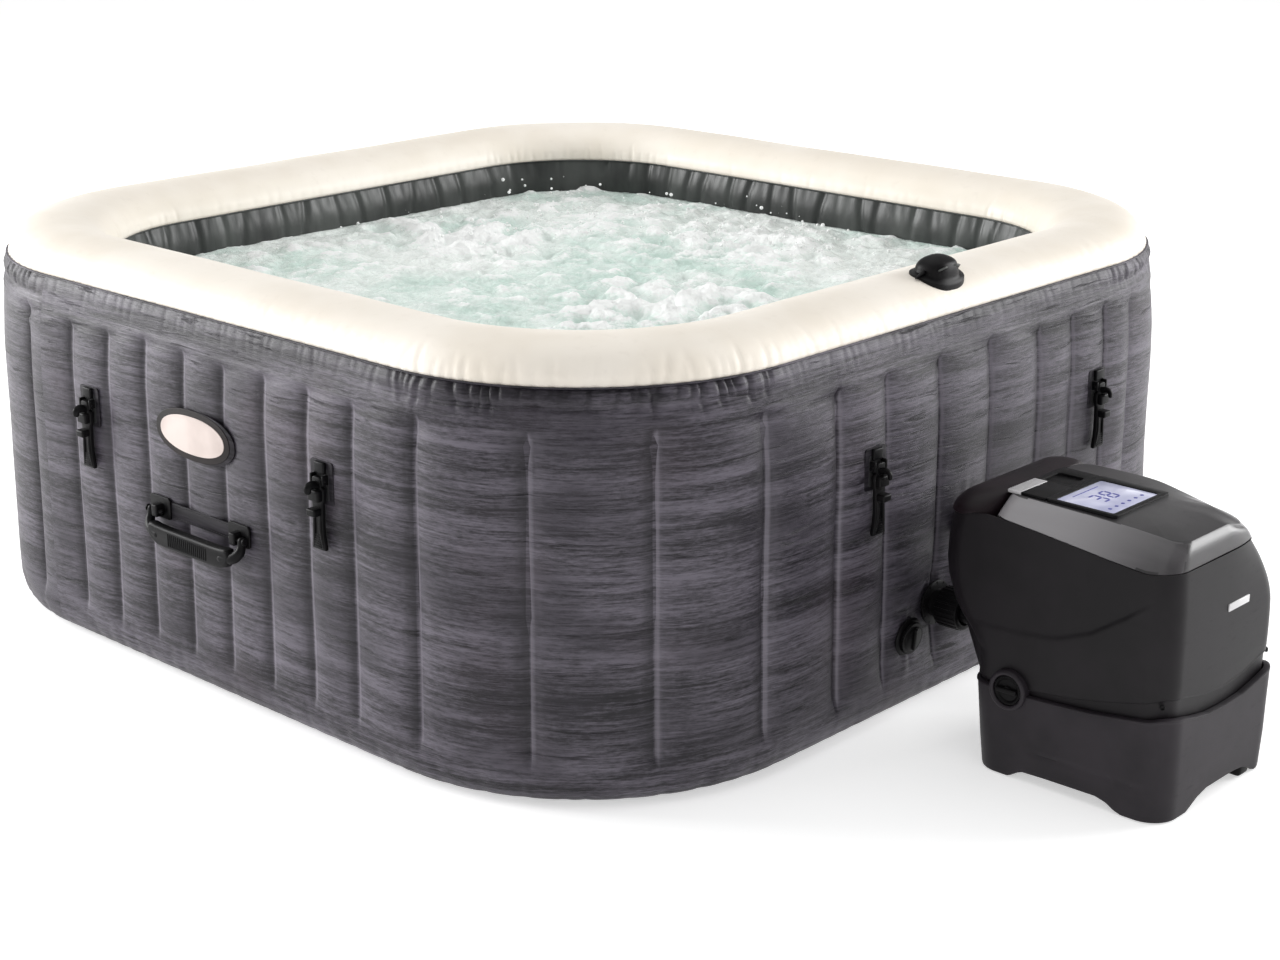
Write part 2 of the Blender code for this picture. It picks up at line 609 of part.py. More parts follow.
def unit_cover():
    """The top cover, with a sloping band along each side, and the rounded hood behind it."""
    edge = BODY_TOP + 0.001
    cover = solid_loft("unit_cover", [
        level_loop(1.0690, 1.3580, -0.1760, 0.0360, UNIT_TOP, 0.012),
        level_loop(1.0690, 1.3720, -0.1880, 0.0480, UNIT_TOP - 0.006, 0.020),
        level_loop(1.0690, 1.3860, -0.2200, 0.0800, 0.4020, 0.034),
        level_loop(1.0690, 1.3900, -0.2260, 0.0860, edge, 0.040)], cover_plastic)
    room = solid_loft("cover_room", [
        level_loop(1.0730, 1.3540, -0.1730, 0.0330, UNIT_TOP - 0.004, 0.010),
        level_loop(1.0730, 1.3830, -0.2160, 0.0760, 0.4000, 0.030),
        level_loop(1.0730, 1.3860, -0.2220, 0.0820, edge - 0.01, 0.036)], None, cutters)
    cut(cover, room)
    hood = solid_loft("unit_hood", [
        level_loop(1.0020, 1.0670, -0.1600, 0.0200, UNIT_TOP, 0.012),
        level_loop(0.9900, 1.0680, -0.1820, 0.0420, 0.4240, 0.020),
        level_loop(0.9930, 1.0680, -0.2140, 0.0740, 0.4020, 0.030),
        level_loop(1.0180, 1.0680, -0.2240, 0.0840, edge, 0.024)], unit_plastic)
    hood_room = solid_loft("hood_room", [
        level_loop(1.0040, 1.0640, -0.1600, 0.0200, UNIT_TOP - 0.005, 0.010),
        level_loop(0.9970, 1.0640, -0.2080, 0.0680, 0.4020, 0.026),
        level_loop(1.0230, 1.0640, -0.2190, 0.0790, edge - 0.002, 0.020)], None, cutters)
    cut(hood, hood_room)


def control_panel():
    """The dark bezel on the cover, with the display let into it."""
    low, high = UNIT_TOP + GAP, UNIT_TOP + 0.0040
    bezel = block("display_bezel", (1.0740, -0.1720, low), (1.2580, -0.0180, high), black_plastic)
    cut(bezel, block("display_seat", (1.1480, -0.1640, low - 0.01), (1.2500, -0.0360, high + 0.01), None, cutters),
        block("finger_notch", (1.0800, -0.1000, high - 0.0020), (1.1240, -0.0280, high + 0.01), None, cutters))
    block("display_glass", (1.1485, -0.1635, low), (1.2495, -0.0365, high - 0.0008), display_glass)
    block("unit_plate", (1.3972, -0.0720, 0.2930), (1.3992, -0.0100, 0.3070), cover_plastic)


def pump():
    """The circulation pump: a chamber with its nozzle to the tub, the impeller in it, and the motor."""
    origin = (0, *SUCTION)
    back = PUMP_FRONT + 0.0350
    chamber = turned("pump_volute", [
        (PORT_TUBE, 0.9185), (PORT_TUBE, 0.9300), (0.0200, 0.9300), (0.0200, PUMP_FRONT), (0.0480, PUMP_FRONT),
        (0.0480, back), (SHAFT_BORE, back), (SHAFT_BORE, back - 0.004), (0.0440, back - 0.004),
        (0.0440, PUMP_FRONT + 0.003), (0.0160, PUMP_FRONT + 0.003), (0.0160, 0.9185)],
        black_plastic, origin, (1, 0, 0))
    x, y, z = PUMP_FRONT + 0.0175, SUCTION[0] + 0.015, SUCTION[1]
    join(chamber, rod("outlet", (x, y, z + 0.0385), (x, y, z + 0.060), 0.0130))
    cut(chamber, rod("outlet_bore", (x, y, z + 0.010), (x, y, z + 0.080), 0.0090))
    blades = []
    for i in range(6):
        for angle, radius in ((-9, 0.0120), (-5, 0.0380), (5, 0.0380), (9, 0.0120)):
            a = math.radians(60 * i + angle)
            blades.append((radius * math.cos(a), radius * math.sin(a)))
    wheel = flat_piece("impeller", [blades], 0.0160, white_plastic)
    join(wheel, rod("impeller_shaft", (0, 0, 0.004), (0, 0, 0.0420), SHAFT))
    settle(wheel)
    wheel.matrix_world = (Matrix.Translation((PUMP_FRONT + 0.0070, *SUCTION))
                          @ Vector((1, 0, 0)).to_track_quat("Z", "Y").to_matrix().to_4x4())
    turned("pump_motor", [(0.0400, back + GAP), (0.0400, 1.2000), (0.0340, 1.2060), (0.0, 1.2060),
                          (0.0, back + 0.0160), (SHAFT_BORE, back + 0.0160), (SHAFT_BORE, back + GAP)],
           motor_metal, origin, (1, 0, 0))
    return x, y, z + 0.0605


def heater(outlet):
    """The heater tube with its nozzle to the tub, and the hose that brings it the pumped water."""
    origin = (0, *RETURN)
    turned("heater", [(PORT_TUBE, 0.9185), (PORT_TUBE, 0.9300), (0.0200, 0.9300), (0.0200, 1.0600),
                      (0.0280, 1.0660), (0.0280, 1.2300), (0.0130, 1.2360), (0.0130, 1.2600), (0.0090, 1.2600),
                      (0.0090, 1.2340), (0.0250, 1.2280), (0.0250, 1.0680), (0.0160, 1.0600), (0.0160, 0.9185)],
           motor_metal, origin, (1, 0, 0))
    x, y, z = outlet
    route = smooth_route([(x, y, z + 0.008), (x + 0.010, y - 0.002, z + 0.026), (x + 0.036, y - 0.005, z + 0.035),
                          (x + 0.090, y + 0.010, z + 0.030), (1.2700, 0.025, 0.252), (1.2980, 0.040, 0.218),
                          (1.2920, RETURN[0], 0.190), (1.2740, *RETURN)], 4)
    route = [(x, y, z), *route, (1.2615, *RETURN)]
    tube("pump_hose", route, 0.0115, black_plastic)


def blower():
    """The air blower with its nozzle to the tub, and the fan in it."""
    origin = (0, *AIR)
    back = BLOWER_FRONT + 0.0450
    turned("blower_housing", [
        (AIR_TUBE, 0.9185), (AIR_TUBE, 0.9300), (0.0150, 0.9300), (0.0150, BLOWER_FRONT), (0.0460, BLOWER_FRONT),
        (0.0460, back), (SHAFT_BORE, back), (SHAFT_BORE, back - 0.008), (0.0430, back - 0.008),
        (0.0430, BLOWER_FRONT + 0.003), (0.0120, BLOWER_FRONT + 0.003), (0.0120, 0.9185)],
        black_plastic, origin, (1, 0, 0))
    vanes = []
    for i in range(10):
        for angle, radius in ((-9, 0.0200), (-4, 0.0390), (4, 0.0390), (9, 0.0200)):
            a = math.radians(36 * i + angle)
            vanes.append((radius * math.cos(a), radius * math.sin(a)))
    fan = flat_piece("blower_fan", [vanes], 0.0220, white_plastic)
    join(fan, rod("fan_shaft", (0, 0, 0.004), (0, 0, 0.0420), SHAFT))
    settle(fan)
    fan.matrix_world = (Matrix.Translation((BLOWER_FRONT + 0.0070, *AIR))
                        @ Vector((1, 0, 0)).to_track_quat("Z", "Y").to_matrix().to_4x4())


def side_fittings():
    """The service port with its cap on the unit's front side, and the cable gland on the far side."""
    x, height = SERVICE_PORT
    origin = (x, -0.2380, height)
    turned("service_port", [(0.0270, 0.0020), (0.0250, 0.0040), (0.0205, 0.0040), (0.0205, -0.0260),
                            (0.0, -0.0260), (0.0, -0.0300), (0.0270, -0.0300)], unit_plastic, origin, (0, -1, 0))
    cap = turned("service_cap", [(0.0, 0.0020), (0.0190, 0.0020), (0.0195, 0.0010), (0.0195, -0.0200),
                                 (0.0, -0.0200)], black_plastic, origin, (0, -1, 0))
    join(cap, block("cap_grip", (x - 0.0150, -0.2440, height - 0.0030), (x + 0.0150, -0.2370, height + 0.0030),
                    None, cutters))
    turned("cable_gland", [(0.0, 0.0), (0.0110, 0.0), (0.0110, 0.0060), (0.0085, 0.0180), (0.0045, 0.0180),
                           (0.0045, 0.0040), (0.0, 0.0040)], black_plastic, (1.180, 0.0955, 0.060), (0, 1, 0), 12)


def build():
    tub_skins()
    wall_web()
    badge()
    rim_cowl()
    valve("drain", *DRAIN, (math.cos(0.10), 0, -math.sin(0.10)), 0.0250, 0.0330, 0.0140)
    valve("inflation", *INFLATION, (1, 0, 0), 0.0200, 0.0290, 0.0200)
    handle("front", 0.0)
    handle("back", math.pi)
    buckles()
    fittings()
    filter_set()
    bubble_ring()
    unit_base()
    unit_shell()
    unit_cover()
    control_panel()
    heater(pump())
    blower()
    side_fittings()
    for obj in parts.objects:
        shade(obj)


build()
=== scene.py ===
"""Looks for the square inflatable hot tub and its control unit: meshes, finishes, light and camera.

Metres, +Z up. The tub stands on the origin, its front with the badge and the carry handle faces -Y, and the
control unit stands on the +X side.
"""

import math

import bmesh
import bpy
import numpy as np
from mathutils import Matrix, Vector, noise


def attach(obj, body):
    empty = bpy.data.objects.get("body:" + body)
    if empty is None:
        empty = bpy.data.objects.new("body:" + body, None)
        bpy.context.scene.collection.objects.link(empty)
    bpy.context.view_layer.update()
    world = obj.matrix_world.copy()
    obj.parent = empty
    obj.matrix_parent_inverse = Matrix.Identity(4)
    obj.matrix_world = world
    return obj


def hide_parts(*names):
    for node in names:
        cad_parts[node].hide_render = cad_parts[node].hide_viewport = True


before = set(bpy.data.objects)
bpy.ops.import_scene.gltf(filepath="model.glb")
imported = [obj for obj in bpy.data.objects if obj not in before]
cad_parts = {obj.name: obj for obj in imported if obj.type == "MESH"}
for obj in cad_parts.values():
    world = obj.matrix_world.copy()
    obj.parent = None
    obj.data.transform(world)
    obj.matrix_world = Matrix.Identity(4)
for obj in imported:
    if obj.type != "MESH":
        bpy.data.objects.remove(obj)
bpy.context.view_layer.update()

# ---------------------------------------------------------------- sizes

TUB = "spa"               # the body that everything fixed rides on
CORNER_CENTRE = 0.45      # the tub's corners turn about points this far from the middle, both ways
WALL_HALF = 0.875
BATH_CORNER_CENTRE = 0.404
CORNER_RUN = (WALL_HALF - CORNER_CENTRE) * math.pi / 2
SIDE_RUN = 2 * CORNER_CENTRE
OUTER_SEAM = 0.6455
INNER_SEAM = 0.6365
WATER_LEVEL = 0.575
SUCTION = (-0.075, 0.175)
RETURN = (0.045, 0.175)
AIR = (0.005, 0.300)
DRAIN = (-0.146, 0.135)
INFLATION = (0.150, 0.240)
BUCKLES = {"front": (-0.305, 0.305), "unit": (-0.250, 0.380), "back": (-0.305, 0.305),
           "left": (-0.305, 0.305)}
CLIP_AXIS = (-0.8845, 0.452)
HANDLE_AXIS = (-0.888, 0.306)
HANDLE_AT = -0.011
BADGE_AT = -0.018
SHEET_STEPS = 150         # grid steps across the bath's floor and the ground sheet
WATER_STEPS = 236
JETS = ((0.02, 0.42), (-0.38, 0.10), (0.30, -0.05))   # where the froth boils up, in x and y
FLOOR_HALF = 40
SPARK_GRAIN, SPARK_DEPTH = 1300.0, 0.00012            # the moulds' fine grain: its scale, its depth in metres


# ---------------------------------------------------------------- shader maths

class Term:
    """A value in a finish. Arithmetic on it adds Math nodes."""

    def __init__(self, finish, socket):
        self.finish = finish
        self.socket = socket

    def maths(self, operation, *values):
        return self.finish.node("ShaderNodeMath", {"operation": operation}, dict(enumerate(values)))

    def __add__(self, other):
        return self.maths("ADD", self, other)

    def __sub__(self, other):
        return self.maths("SUBTRACT", self, other)

    def __rsub__(self, other):
        return self.maths("SUBTRACT", other, self)

    def __mul__(self, other):
        return self.maths("MULTIPLY", self, other)

    __radd__ = __add__
    __rmul__ = __mul__

    def ramp_between(self, low, high):
        """0 below low, 1 above high, and smooth between them."""
        return self.finish.node("ShaderNodeMapRange", {"interpolation_type": "SMOOTHSTEP"},
                                {"Value": self, "From Min": low, "From Max": high})


class Finish:
    """One material, built from nodes round its Principled shader."""

    def __init__(self, name, **constants):
        self.material = bpy.data.materials.new(name)
        self.material.use_nodes = True
        self.tree = self.material.node_tree
        self.shader = self.tree.nodes["Principled BSDF"]
        for key, value in constants.items():
            self.shader.inputs[key.replace("_", " ").title().replace("Ior", "IOR")].default_value = value

    def node(self, kind, settings=None, values=None, output=0):
        made = self.tree.nodes.new(kind)
        for key, value in (settings or {}).items():
            setattr(made, key, value)
        for key, value in (values or {}).items():
            if isinstance(value, Term):
                self.tree.links.new(value.socket, made.inputs[key])
            else:
                made.inputs[key].default_value = value
        return Term(self, made.outputs[output])

    def place(self):
        """The point on the piece, in its own metres."""
        return self.node("ShaderNodeTexCoord", output="Object")

    def chart(self, name):
        """The piece's own flat chart: metres along it and up it."""
        return self.node("ShaderNodeUVMap", {"uv_map": name})

    def stretched(self, vector, amounts):
        return self.node("ShaderNodeVectorMath", {"operation": "MULTIPLY"}, {0: vector, 1: amounts})

    def axis(self, vector, output):
        return self.node("ShaderNodeSeparateXYZ", values={0: vector}, output=output)

    def cloud(self, vector, scale, detail=3.0, roughness=0.5, distortion=0.0):
        return self.node("ShaderNodeTexNoise", None, {
            "Vector": vector, "Scale": scale, "Detail": detail, "Roughness": roughness,
            "Distortion": distortion})

    def mixed(self, amount, first, second):
        """first where amount is 0, second where it is 1. Both are colours."""
        first, second = [(*c, 1.0) if isinstance(c, tuple) else c for c in (first, second)]
        return self.node("ShaderNodeMix", {"data_type": "RGBA"}, {0: amount, 6: first, 7: second}, 2)

    def attribute(self, name):
        return self.node("ShaderNodeAttribute", {"attribute_name": name}, output="Fac")

    def into(self, name, term):
        self.tree.links.new(term.socket, self.shader.inputs[name])

    def relief(self, *layers):
        """Bump nodes in a row: each layer is (height, distance in metres, strength)."""
        normal = None
        for height, distance, strength in layers:
            values = {"Height": height, "Distance": distance, "Strength": strength}
            if normal:
                values["Normal"] = normal
            normal = self.node("ShaderNodeBump", None, values)
        self.into("Normal", normal)


# ---------------------------------------------------------------- finishes

def printed_wall():
    """Charcoal vinyl printed with a horizontal brushed grain, with a painted highlight and painted shade at
    the welds and puckers.
    """
    f = Finish("printed_wall", roughness=0.42, specular_ior_level=0.32)
    chart = f.chart("wall")
    fine = f.cloud(f.stretched(chart, (16.0, 420.0, 1.0)), 1.0, 4.0, 0.7)
    streak = f.cloud(f.stretched(chart, (5.0, 110.0, 1.0)), 1.0, 6.0, 0.68, 0.15)
    broad = f.cloud(f.stretched(chart, (2.0, 20.0, 1.0)), 1.0, 4.0, 0.6)
    patch = f.cloud(f.stretched(chart, (3.0, 7.0, 1.0)), 1.0, 4.0, 0.6, 0.3)
    crack = f.cloud(f.stretched(chart, (6.0, 75.0, 1.0)), 1.0, 7.0, 0.66, 0.5).ramp_between(0.575, 0.69)
    flake = f.cloud(f.stretched(chart, (60.0, 260.0, 1.0)), 1.0, 4.0, 0.7)
    tone = (fine * 0.38 + streak * 0.75 + broad * 0.75 + flake * 0.55 - 1.215 + 0.5).ramp_between(0.30, 0.72)
    colour = f.mixed(tone, (0.0060, 0.0046, 0.0076), (0.120, 0.108, 0.134))
    colour = f.mixed(patch.ramp_between(0.42, 0.64) * 0.62, colour, (0.012, 0.0094, 0.0152))
    colour = f.mixed(crack * 0.85, colour, (0.0035, 0.0026, 0.0045))
    hue = f.cloud(chart, 3.1, 3.0)
    colour = f.mixed(hue.ramp_between(0.52, 0.72) * 0.22, colour, (0.062, 0.038, 0.050))
    # Painted light: the point attribute read here lightens a thin line just past each weld as a painted
    # highlight. It darkens the wall just before each weld and in the puckers under the seam as painted shade.
    seam_light_and_shade = f.attribute("seam_light_and_shade")
    colour = f.mixed(seam_light_and_shade.ramp_between(0.0, 1.0) * 0.42, colour, (0.25, 0.23, 0.27))
    colour = f.mixed((seam_light_and_shade * -1.0).ramp_between(0.0, 1.0) * 0.62, colour, (0.0050, 0.0040, 0.0062))
    f.into("Base Color", colour)
    f.into("Roughness", 0.36 + 0.18 * fine + 0.14 * crack)
    film = f.cloud(chart, 900.0, 2.0)
    f.relief((streak + crack * -0.8 + fine * 0.4, 0.0018, 0.60), (film, 0.0002, 0.25))
    return f.material


def cream_rim():
    """Cream vinyl, faintly mottled, with a fine leather grain."""
    f = Finish("cream_rim", roughness=0.4, specular_ior_level=0.45)
    place = f.place()
    mottle = f.cloud(place, 5.0, 3.0)
    colour = f.mixed(mottle.ramp_between(0.3, 0.7), (0.800, 0.735, 0.640), (0.880, 0.825, 0.745))
    dust = f.cloud(place, 60.0, 4.0).ramp_between(0.56, 0.75)
    colour = f.mixed(dust * 0.12, colour, (0.62, 0.56, 0.48))
    f.into("Base Color", colour)
    f.into("Roughness", 0.34 + 0.16 * f.cloud(place, 22.0, 3.0))
    grain = f.node("ShaderNodeTexVoronoi", {"feature": "DISTANCE_TO_EDGE"}, {"Vector": place, "Scale": 420.0})
    f.relief((grain, 0.0003, 0.18), (f.cloud(place, 34.0, 3.0), 0.0012, 0.22))
    return f.material


def dark_liner():
    """Grey-green vinyl of the bath wall and floor, darker in its creases."""
    f = Finish("dark_liner", roughness=0.35, specular_ior_level=0.35)
    place = f.place()
    tone = f.cloud(f.stretched(place, (9.0, 9.0, 3.0)), 1.0, 4.0, 0.6)
    colour = f.mixed(tone.ramp_between(0.3, 0.75), (0.016, 0.0185, 0.0175), (0.070, 0.076, 0.072))
    f.into("Base Color", colour)
    f.into("Roughness", 0.28 + 0.22 * f.cloud(place, 30.0, 3.0))
    f.relief((f.cloud(f.stretched(place, (1.0, 1.0, 0.35)), 26.0, 4.0), 0.004, 0.35),
             (f.cloud(place, 700.0, 2.0), 0.0002, 0.2))
    return f.material


def foaming_water():
    """White froth over pale green water. The froth follows the piece's own froth attribute."""
    f = Finish("foaming_water", roughness=0.2, ior=1.33, specular_ior_level=0.6)
    place = f.place()
    froth = f.attribute("froth")
    cells = f.node("ShaderNodeTexVoronoi", {"feature": "F1"}, {"Vector": place, "Scale": 70.0})
    speck = f.cloud(place, 42.0, 7.0, 0.72, 0.6)
    swirl = f.cloud(place, 8.0, 5.0, 0.62, 1.4)
    cover = (froth * 0.85 + speck * 0.95 + swirl * 0.60 - cells * 0.25 - 0.92).ramp_between(-0.20, 0.40)
    deep = f.mixed(swirl.ramp_between(0.35, 0.65), (0.58, 0.74, 0.67), (0.82, 0.92, 0.87))
    milky = f.mixed(f.cloud(place, 2.6, 2.0).ramp_between(0.38, 0.58) * 0.80, deep, (0.93, 0.955, 0.93))
    f.into("Base Color", f.mixed(cover, milky, (0.985, 0.992, 0.985)))
    f.into("Roughness", 0.08 + 0.42 * cover)
    # Painted light: a faint white glow over all the water, which is no lamp.
    f.shader.inputs["Emission Color"].default_value = (0.90, 1.0, 0.95, 1)
    f.shader.inputs["Emission Strength"].default_value = 0.06
    f.relief((speck, 0.014, 0.7), (cells, 0.004, 0.5), (f.cloud(place, 190.0, 3.0), 0.002, 0.4))
    return f.material


def moulded(name, dark, light, roughness, coat=0.0, shine=0.5):
    """A moulded plastic: a little colour variation, spark-eroded grain and soft scuffs."""
    f = Finish(name, coat_weight=coat, coat_roughness=0.12, specular_ior_level=shine)
    place = f.place()
    tone = f.cloud(place, 11.0, 3.0)
    scuff = f.cloud(f.stretched(place, (1.0, 1.0, 4.0)), 38.0, 5.0, 0.65).ramp_between(0.55, 0.8)
    f.into("Base Color", f.mixed(tone.ramp_between(0.3, 0.7), dark, light))
    f.into("Roughness", roughness + 0.10 * scuff + 0.05 * tone)
    f.relief((f.cloud(place, SPARK_GRAIN, 2.0), SPARK_DEPTH, 0.5), (f.cloud(place, 60.0, 2.0), 0.0004, 0.08))
    return f.material


def band_painted_reflection():
    """The lid's sloping sides: a painted reflection, light silver grey at the tub's end, running out into
    charcoal at the other.
    """
    f = Finish("band_painted_reflection", coat_weight=0.25, coat_roughness=0.12)
    place = f.place()
    # Painted reflection: the colour is light grey at the tub's end and fades to charcoal towards the outer
    # end.
    along = f.axis(place, 0).ramp_between(1.15, 1.385)
    flow = f.cloud(f.stretched(place, (5.0, 30.0, 30.0)), 1.0, 3.0)
    colour = f.mixed(along, (0.260, 0.250, 0.262), (0.034, 0.031, 0.034))
    colour = f.mixed(flow.ramp_between(0.35, 0.7) * 0.18, colour, (0.17, 0.16, 0.17))
    f.into("Base Color", colour)
    f.into("Roughness", 0.26 + 0.10 * flow)
    f.relief((f.cloud(place, SPARK_GRAIN, 2.0), SPARK_DEPTH, 0.4))
    return f.material


def welded_patch():
    """Smooth dark vinyl of the patches welded on the wall."""
    f = Finish("welded_patch", roughness=0.4, specular_ior_level=0.12)
    place = f.place()
    grain = f.cloud(f.stretched(place, (8.0, 8.0, 160.0)), 1.0, 4.0, 0.6)
    f.into("Base Color", f.mixed(grain.ramp_between(0.3, 0.75), (0.006, 0.005, 0.007), (0.030, 0.027, 0.033)))
    f.into("Roughness", 0.36 + 0.15 * grain)
    f.relief((grain, 0.0008, 0.5), (f.cloud(place, 800.0, 2.0), 0.0002, 0.2))
    return f.material


def woven_strap():
    """Black webbing with a plain weave."""
    f = Finish("woven_strap", roughness=0.75)
    place = f.place()
    across = f.node("ShaderNodeTexWave", {"bands_direction": "DIAGONAL"}, {"Vector": place, "Scale": 260.0})
    up = f.node("ShaderNodeTexWave", {"bands_direction": "Z"}, {"Vector": place, "Scale": 320.0})
    weave = across * up
    f.into("Base Color", f.mixed(weave, (0.008, 0.008, 0.009), (0.030, 0.029, 0.032)))
    f.into("Roughness", 0.85 - 0.25 * weave)
    f.relief((weave, 0.0006, 0.8))
    return f.material


def lit_display():
    """The display's backlit face: lavender, a little brighter in soft patches."""
    f = Finish("lit_display", roughness=0.12, coat_weight=0.5, coat_roughness=0.05)
    place = f.place()
    glow = f.cloud(place, 14.0, 2.0)
    colour = f.mixed(glow.ramp_between(0.3, 0.7), (0.34, 0.35, 0.52), (0.62, 0.63, 0.80))
    f.into("Base Color", colour)
    f.into("Emission Color", colour)
    f.shader.inputs["Emission Strength"].default_value = 0.25
    f.relief((f.cloud(place, 900.0, 1.0), 0.0001, 0.1))
    return f.material


def pleated_paper():
    """The filter's white paper, in soft upright pleats, with painted shade in the pleats' valleys."""
    f = Finish("pleated_paper", roughness=0.9)
    place = f.place()
    pleat = f.node("ShaderNodeTexWave", {"bands_direction": "Y"},
                   {"Vector": place, "Scale": 55.0, "Distortion": 1.0})
    # Painted shade: the paper's colour runs darker where the pleat wave is low, in the same valleys as the
    # bump.
    f.into("Base Color", f.mixed(pleat, (0.55, 0.57, 0.57), (0.86, 0.88, 0.88)))
    f.relief((pleat, 0.003, 0.7))
    return f.material


def cast_metal():
    """Bare grey metal of the motor and the heater, unevenly dull."""
    f = Finish("cast_metal", metallic=0.9)
    place = f.place()
    tone = f.cloud(place, 70.0, 4.0)
    f.into("Base Color", f.mixed(tone, (0.30, 0.30, 0.31), (0.55, 0.55, 0.56)))
    f.into("Roughness", 0.32 + 0.25 * tone)
    f.relief((f.cloud(place, 500.0, 2.0), 0.0003, 0.4))
    return f.material


def fibre_cloth():
    """Grey cloth of the webs between the walls."""
    f = Finish("fibre_cloth", roughness=0.85)
    place = f.place()
    weave = f.node("ShaderNodeTexWave", {"bands_direction": "Z"}, {"Vector": place, "Scale": 90.0})
    f.into("Base Color", f.mixed(weave, (0.42, 0.42, 0.42), (0.66, 0.66, 0.66)))
    f.relief((weave, 0.001, 0.6))
    return f.material


WALL = printed_wall()
CREAM = cream_rim()
LINER = dark_liner()
WATER = foaming_water()
BLACK = moulded("gloss_black_plastic", (0.003, 0.003, 0.0035), (0.006, 0.0055, 0.006), 0.38, shine=0.11)
SHELL = moulded("charcoal_shell_plastic", (0.005, 0.004, 0.005), (0.009, 0.0072, 0.009), 0.40, shine=0.20)
TRAY = moulded("charcoal_tray_plastic", (0.014, 0.0115, 0.0145), (0.024, 0.0198, 0.0245), 0.46, shine=0.22)
LID = moulded("charcoal_lid_plastic", (0.020, 0.0185, 0.020), (0.034, 0.031, 0.034), 0.30, shine=0.45)
BAND = band_painted_reflection()
TRIM = moulded("silver_trim_plastic", (0.46, 0.45, 0.46), (0.60, 0.59, 0.60), 0.22, coat=0.4)
HOOD = moulded("maroon_black_hood", (0.006, 0.0030, 0.0045), (0.014, 0.007, 0.010), 0.42, shine=0.20)
WHITE = moulded("white_pool_plastic", (0.68, 0.70, 0.70), (0.80, 0.82, 0.82), 0.38)
BADGE_FACE = moulded("badge_face", (0.50, 0.42, 0.39), (0.66, 0.57, 0.53), 0.46, shine=0.3)
BADGE_EDGE = moulded("badge_edge", (0.006, 0.004, 0.004), (0.014, 0.009, 0.009), 0.5, shine=0.2)
SCREEN = lit_display()
SCREEN_MARK = moulded("display_marks", (0.045, 0.050, 0.30), (0.075, 0.080, 0.42), 0.3)
STRAP = woven_strap()
PATCH = welded_patch()
PAPER = pleated_paper()
METAL = cast_metal()
FIBRE = fibre_cloth()


# ---------------------------------------------------------------- mesh tools

def piece(name, points, faces, material, slot, nodes=(), chart=None):
    """A smooth finished piece of the tub."""
    mesh = bpy.data.meshes.new(name)
    faces = faces if isinstance(faces, list) else faces.tolist()
    mesh.from_pydata(points.reshape(-1, 3).tolist(), [], faces)
    if chart is not None:
        layer = mesh.uv_layers.new(name="wall")
        layer.data.foreach_set("uv", np.asarray(chart, np.float32).ravel())
    mesh.materials.append(material)
    mesh.validate()
    mesh.shade_smooth()
    obj = bpy.data.objects.new(name, mesh)
    bpy.context.scene.collection.objects.link(obj)
    return belongs(obj, slot, nodes)


def belongs(obj, slot, nodes=(), body=TUB):
    """Hides the solids that a piece stands for and hangs the piece on its body. slot is not used."""
    if nodes:
        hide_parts(*([nodes] if isinstance(nodes, str) else nodes))
    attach(obj, body)
    return obj


def smoothstep(value, low, high):
    t = np.clip((value - low) / (high - low), 0.0, 1.0)
    return t * t * (3 - 2 * t)


def spline(stations, count):
    """Points along a smooth curve through the stations, evenly spread over its length."""
    stations = np.asarray(stations, float)
    ends = np.vstack([2 * stations[0] - stations[1], stations, 2 * stations[-1] - stations[-2]])
    t = np.linspace(0, 1, 25)[:-1, None]
    parts = [0.5 * (2 * b + (c - a) * t + (2 * a - 5 * b + 4 * c - d) * t ** 2
                    + (3 * b - a - 3 * c + d) * t ** 3)
             for a, b, c, d in zip(ends, ends[1:], ends[2:], ends[3:])]
    path = np.vstack([*parts, stations[-1:]])
    run = np.concatenate([[0], np.cumsum(np.linalg.norm(np.diff(path, axis=0), axis=1))])
    where = np.linspace(0, run[-1], count) if np.isscalar(count) else np.asarray(count) * run[-1]
    return np.column_stack([np.interp(where, run, path[:, k]) for k in range(path.shape[1])])


def spaced(*stretches):
    """Shares from 0 to 1, packed differently in each stretch, which is (its end, its count of points)."""
    shares, start = [np.zeros(1)], 0
    for end, count in stretches:
        shares.append(np.linspace(start, end, count)[1:])
        start = end
    return np.concatenate(shares)


# ---------------------------------------------------------------- the tub's skins

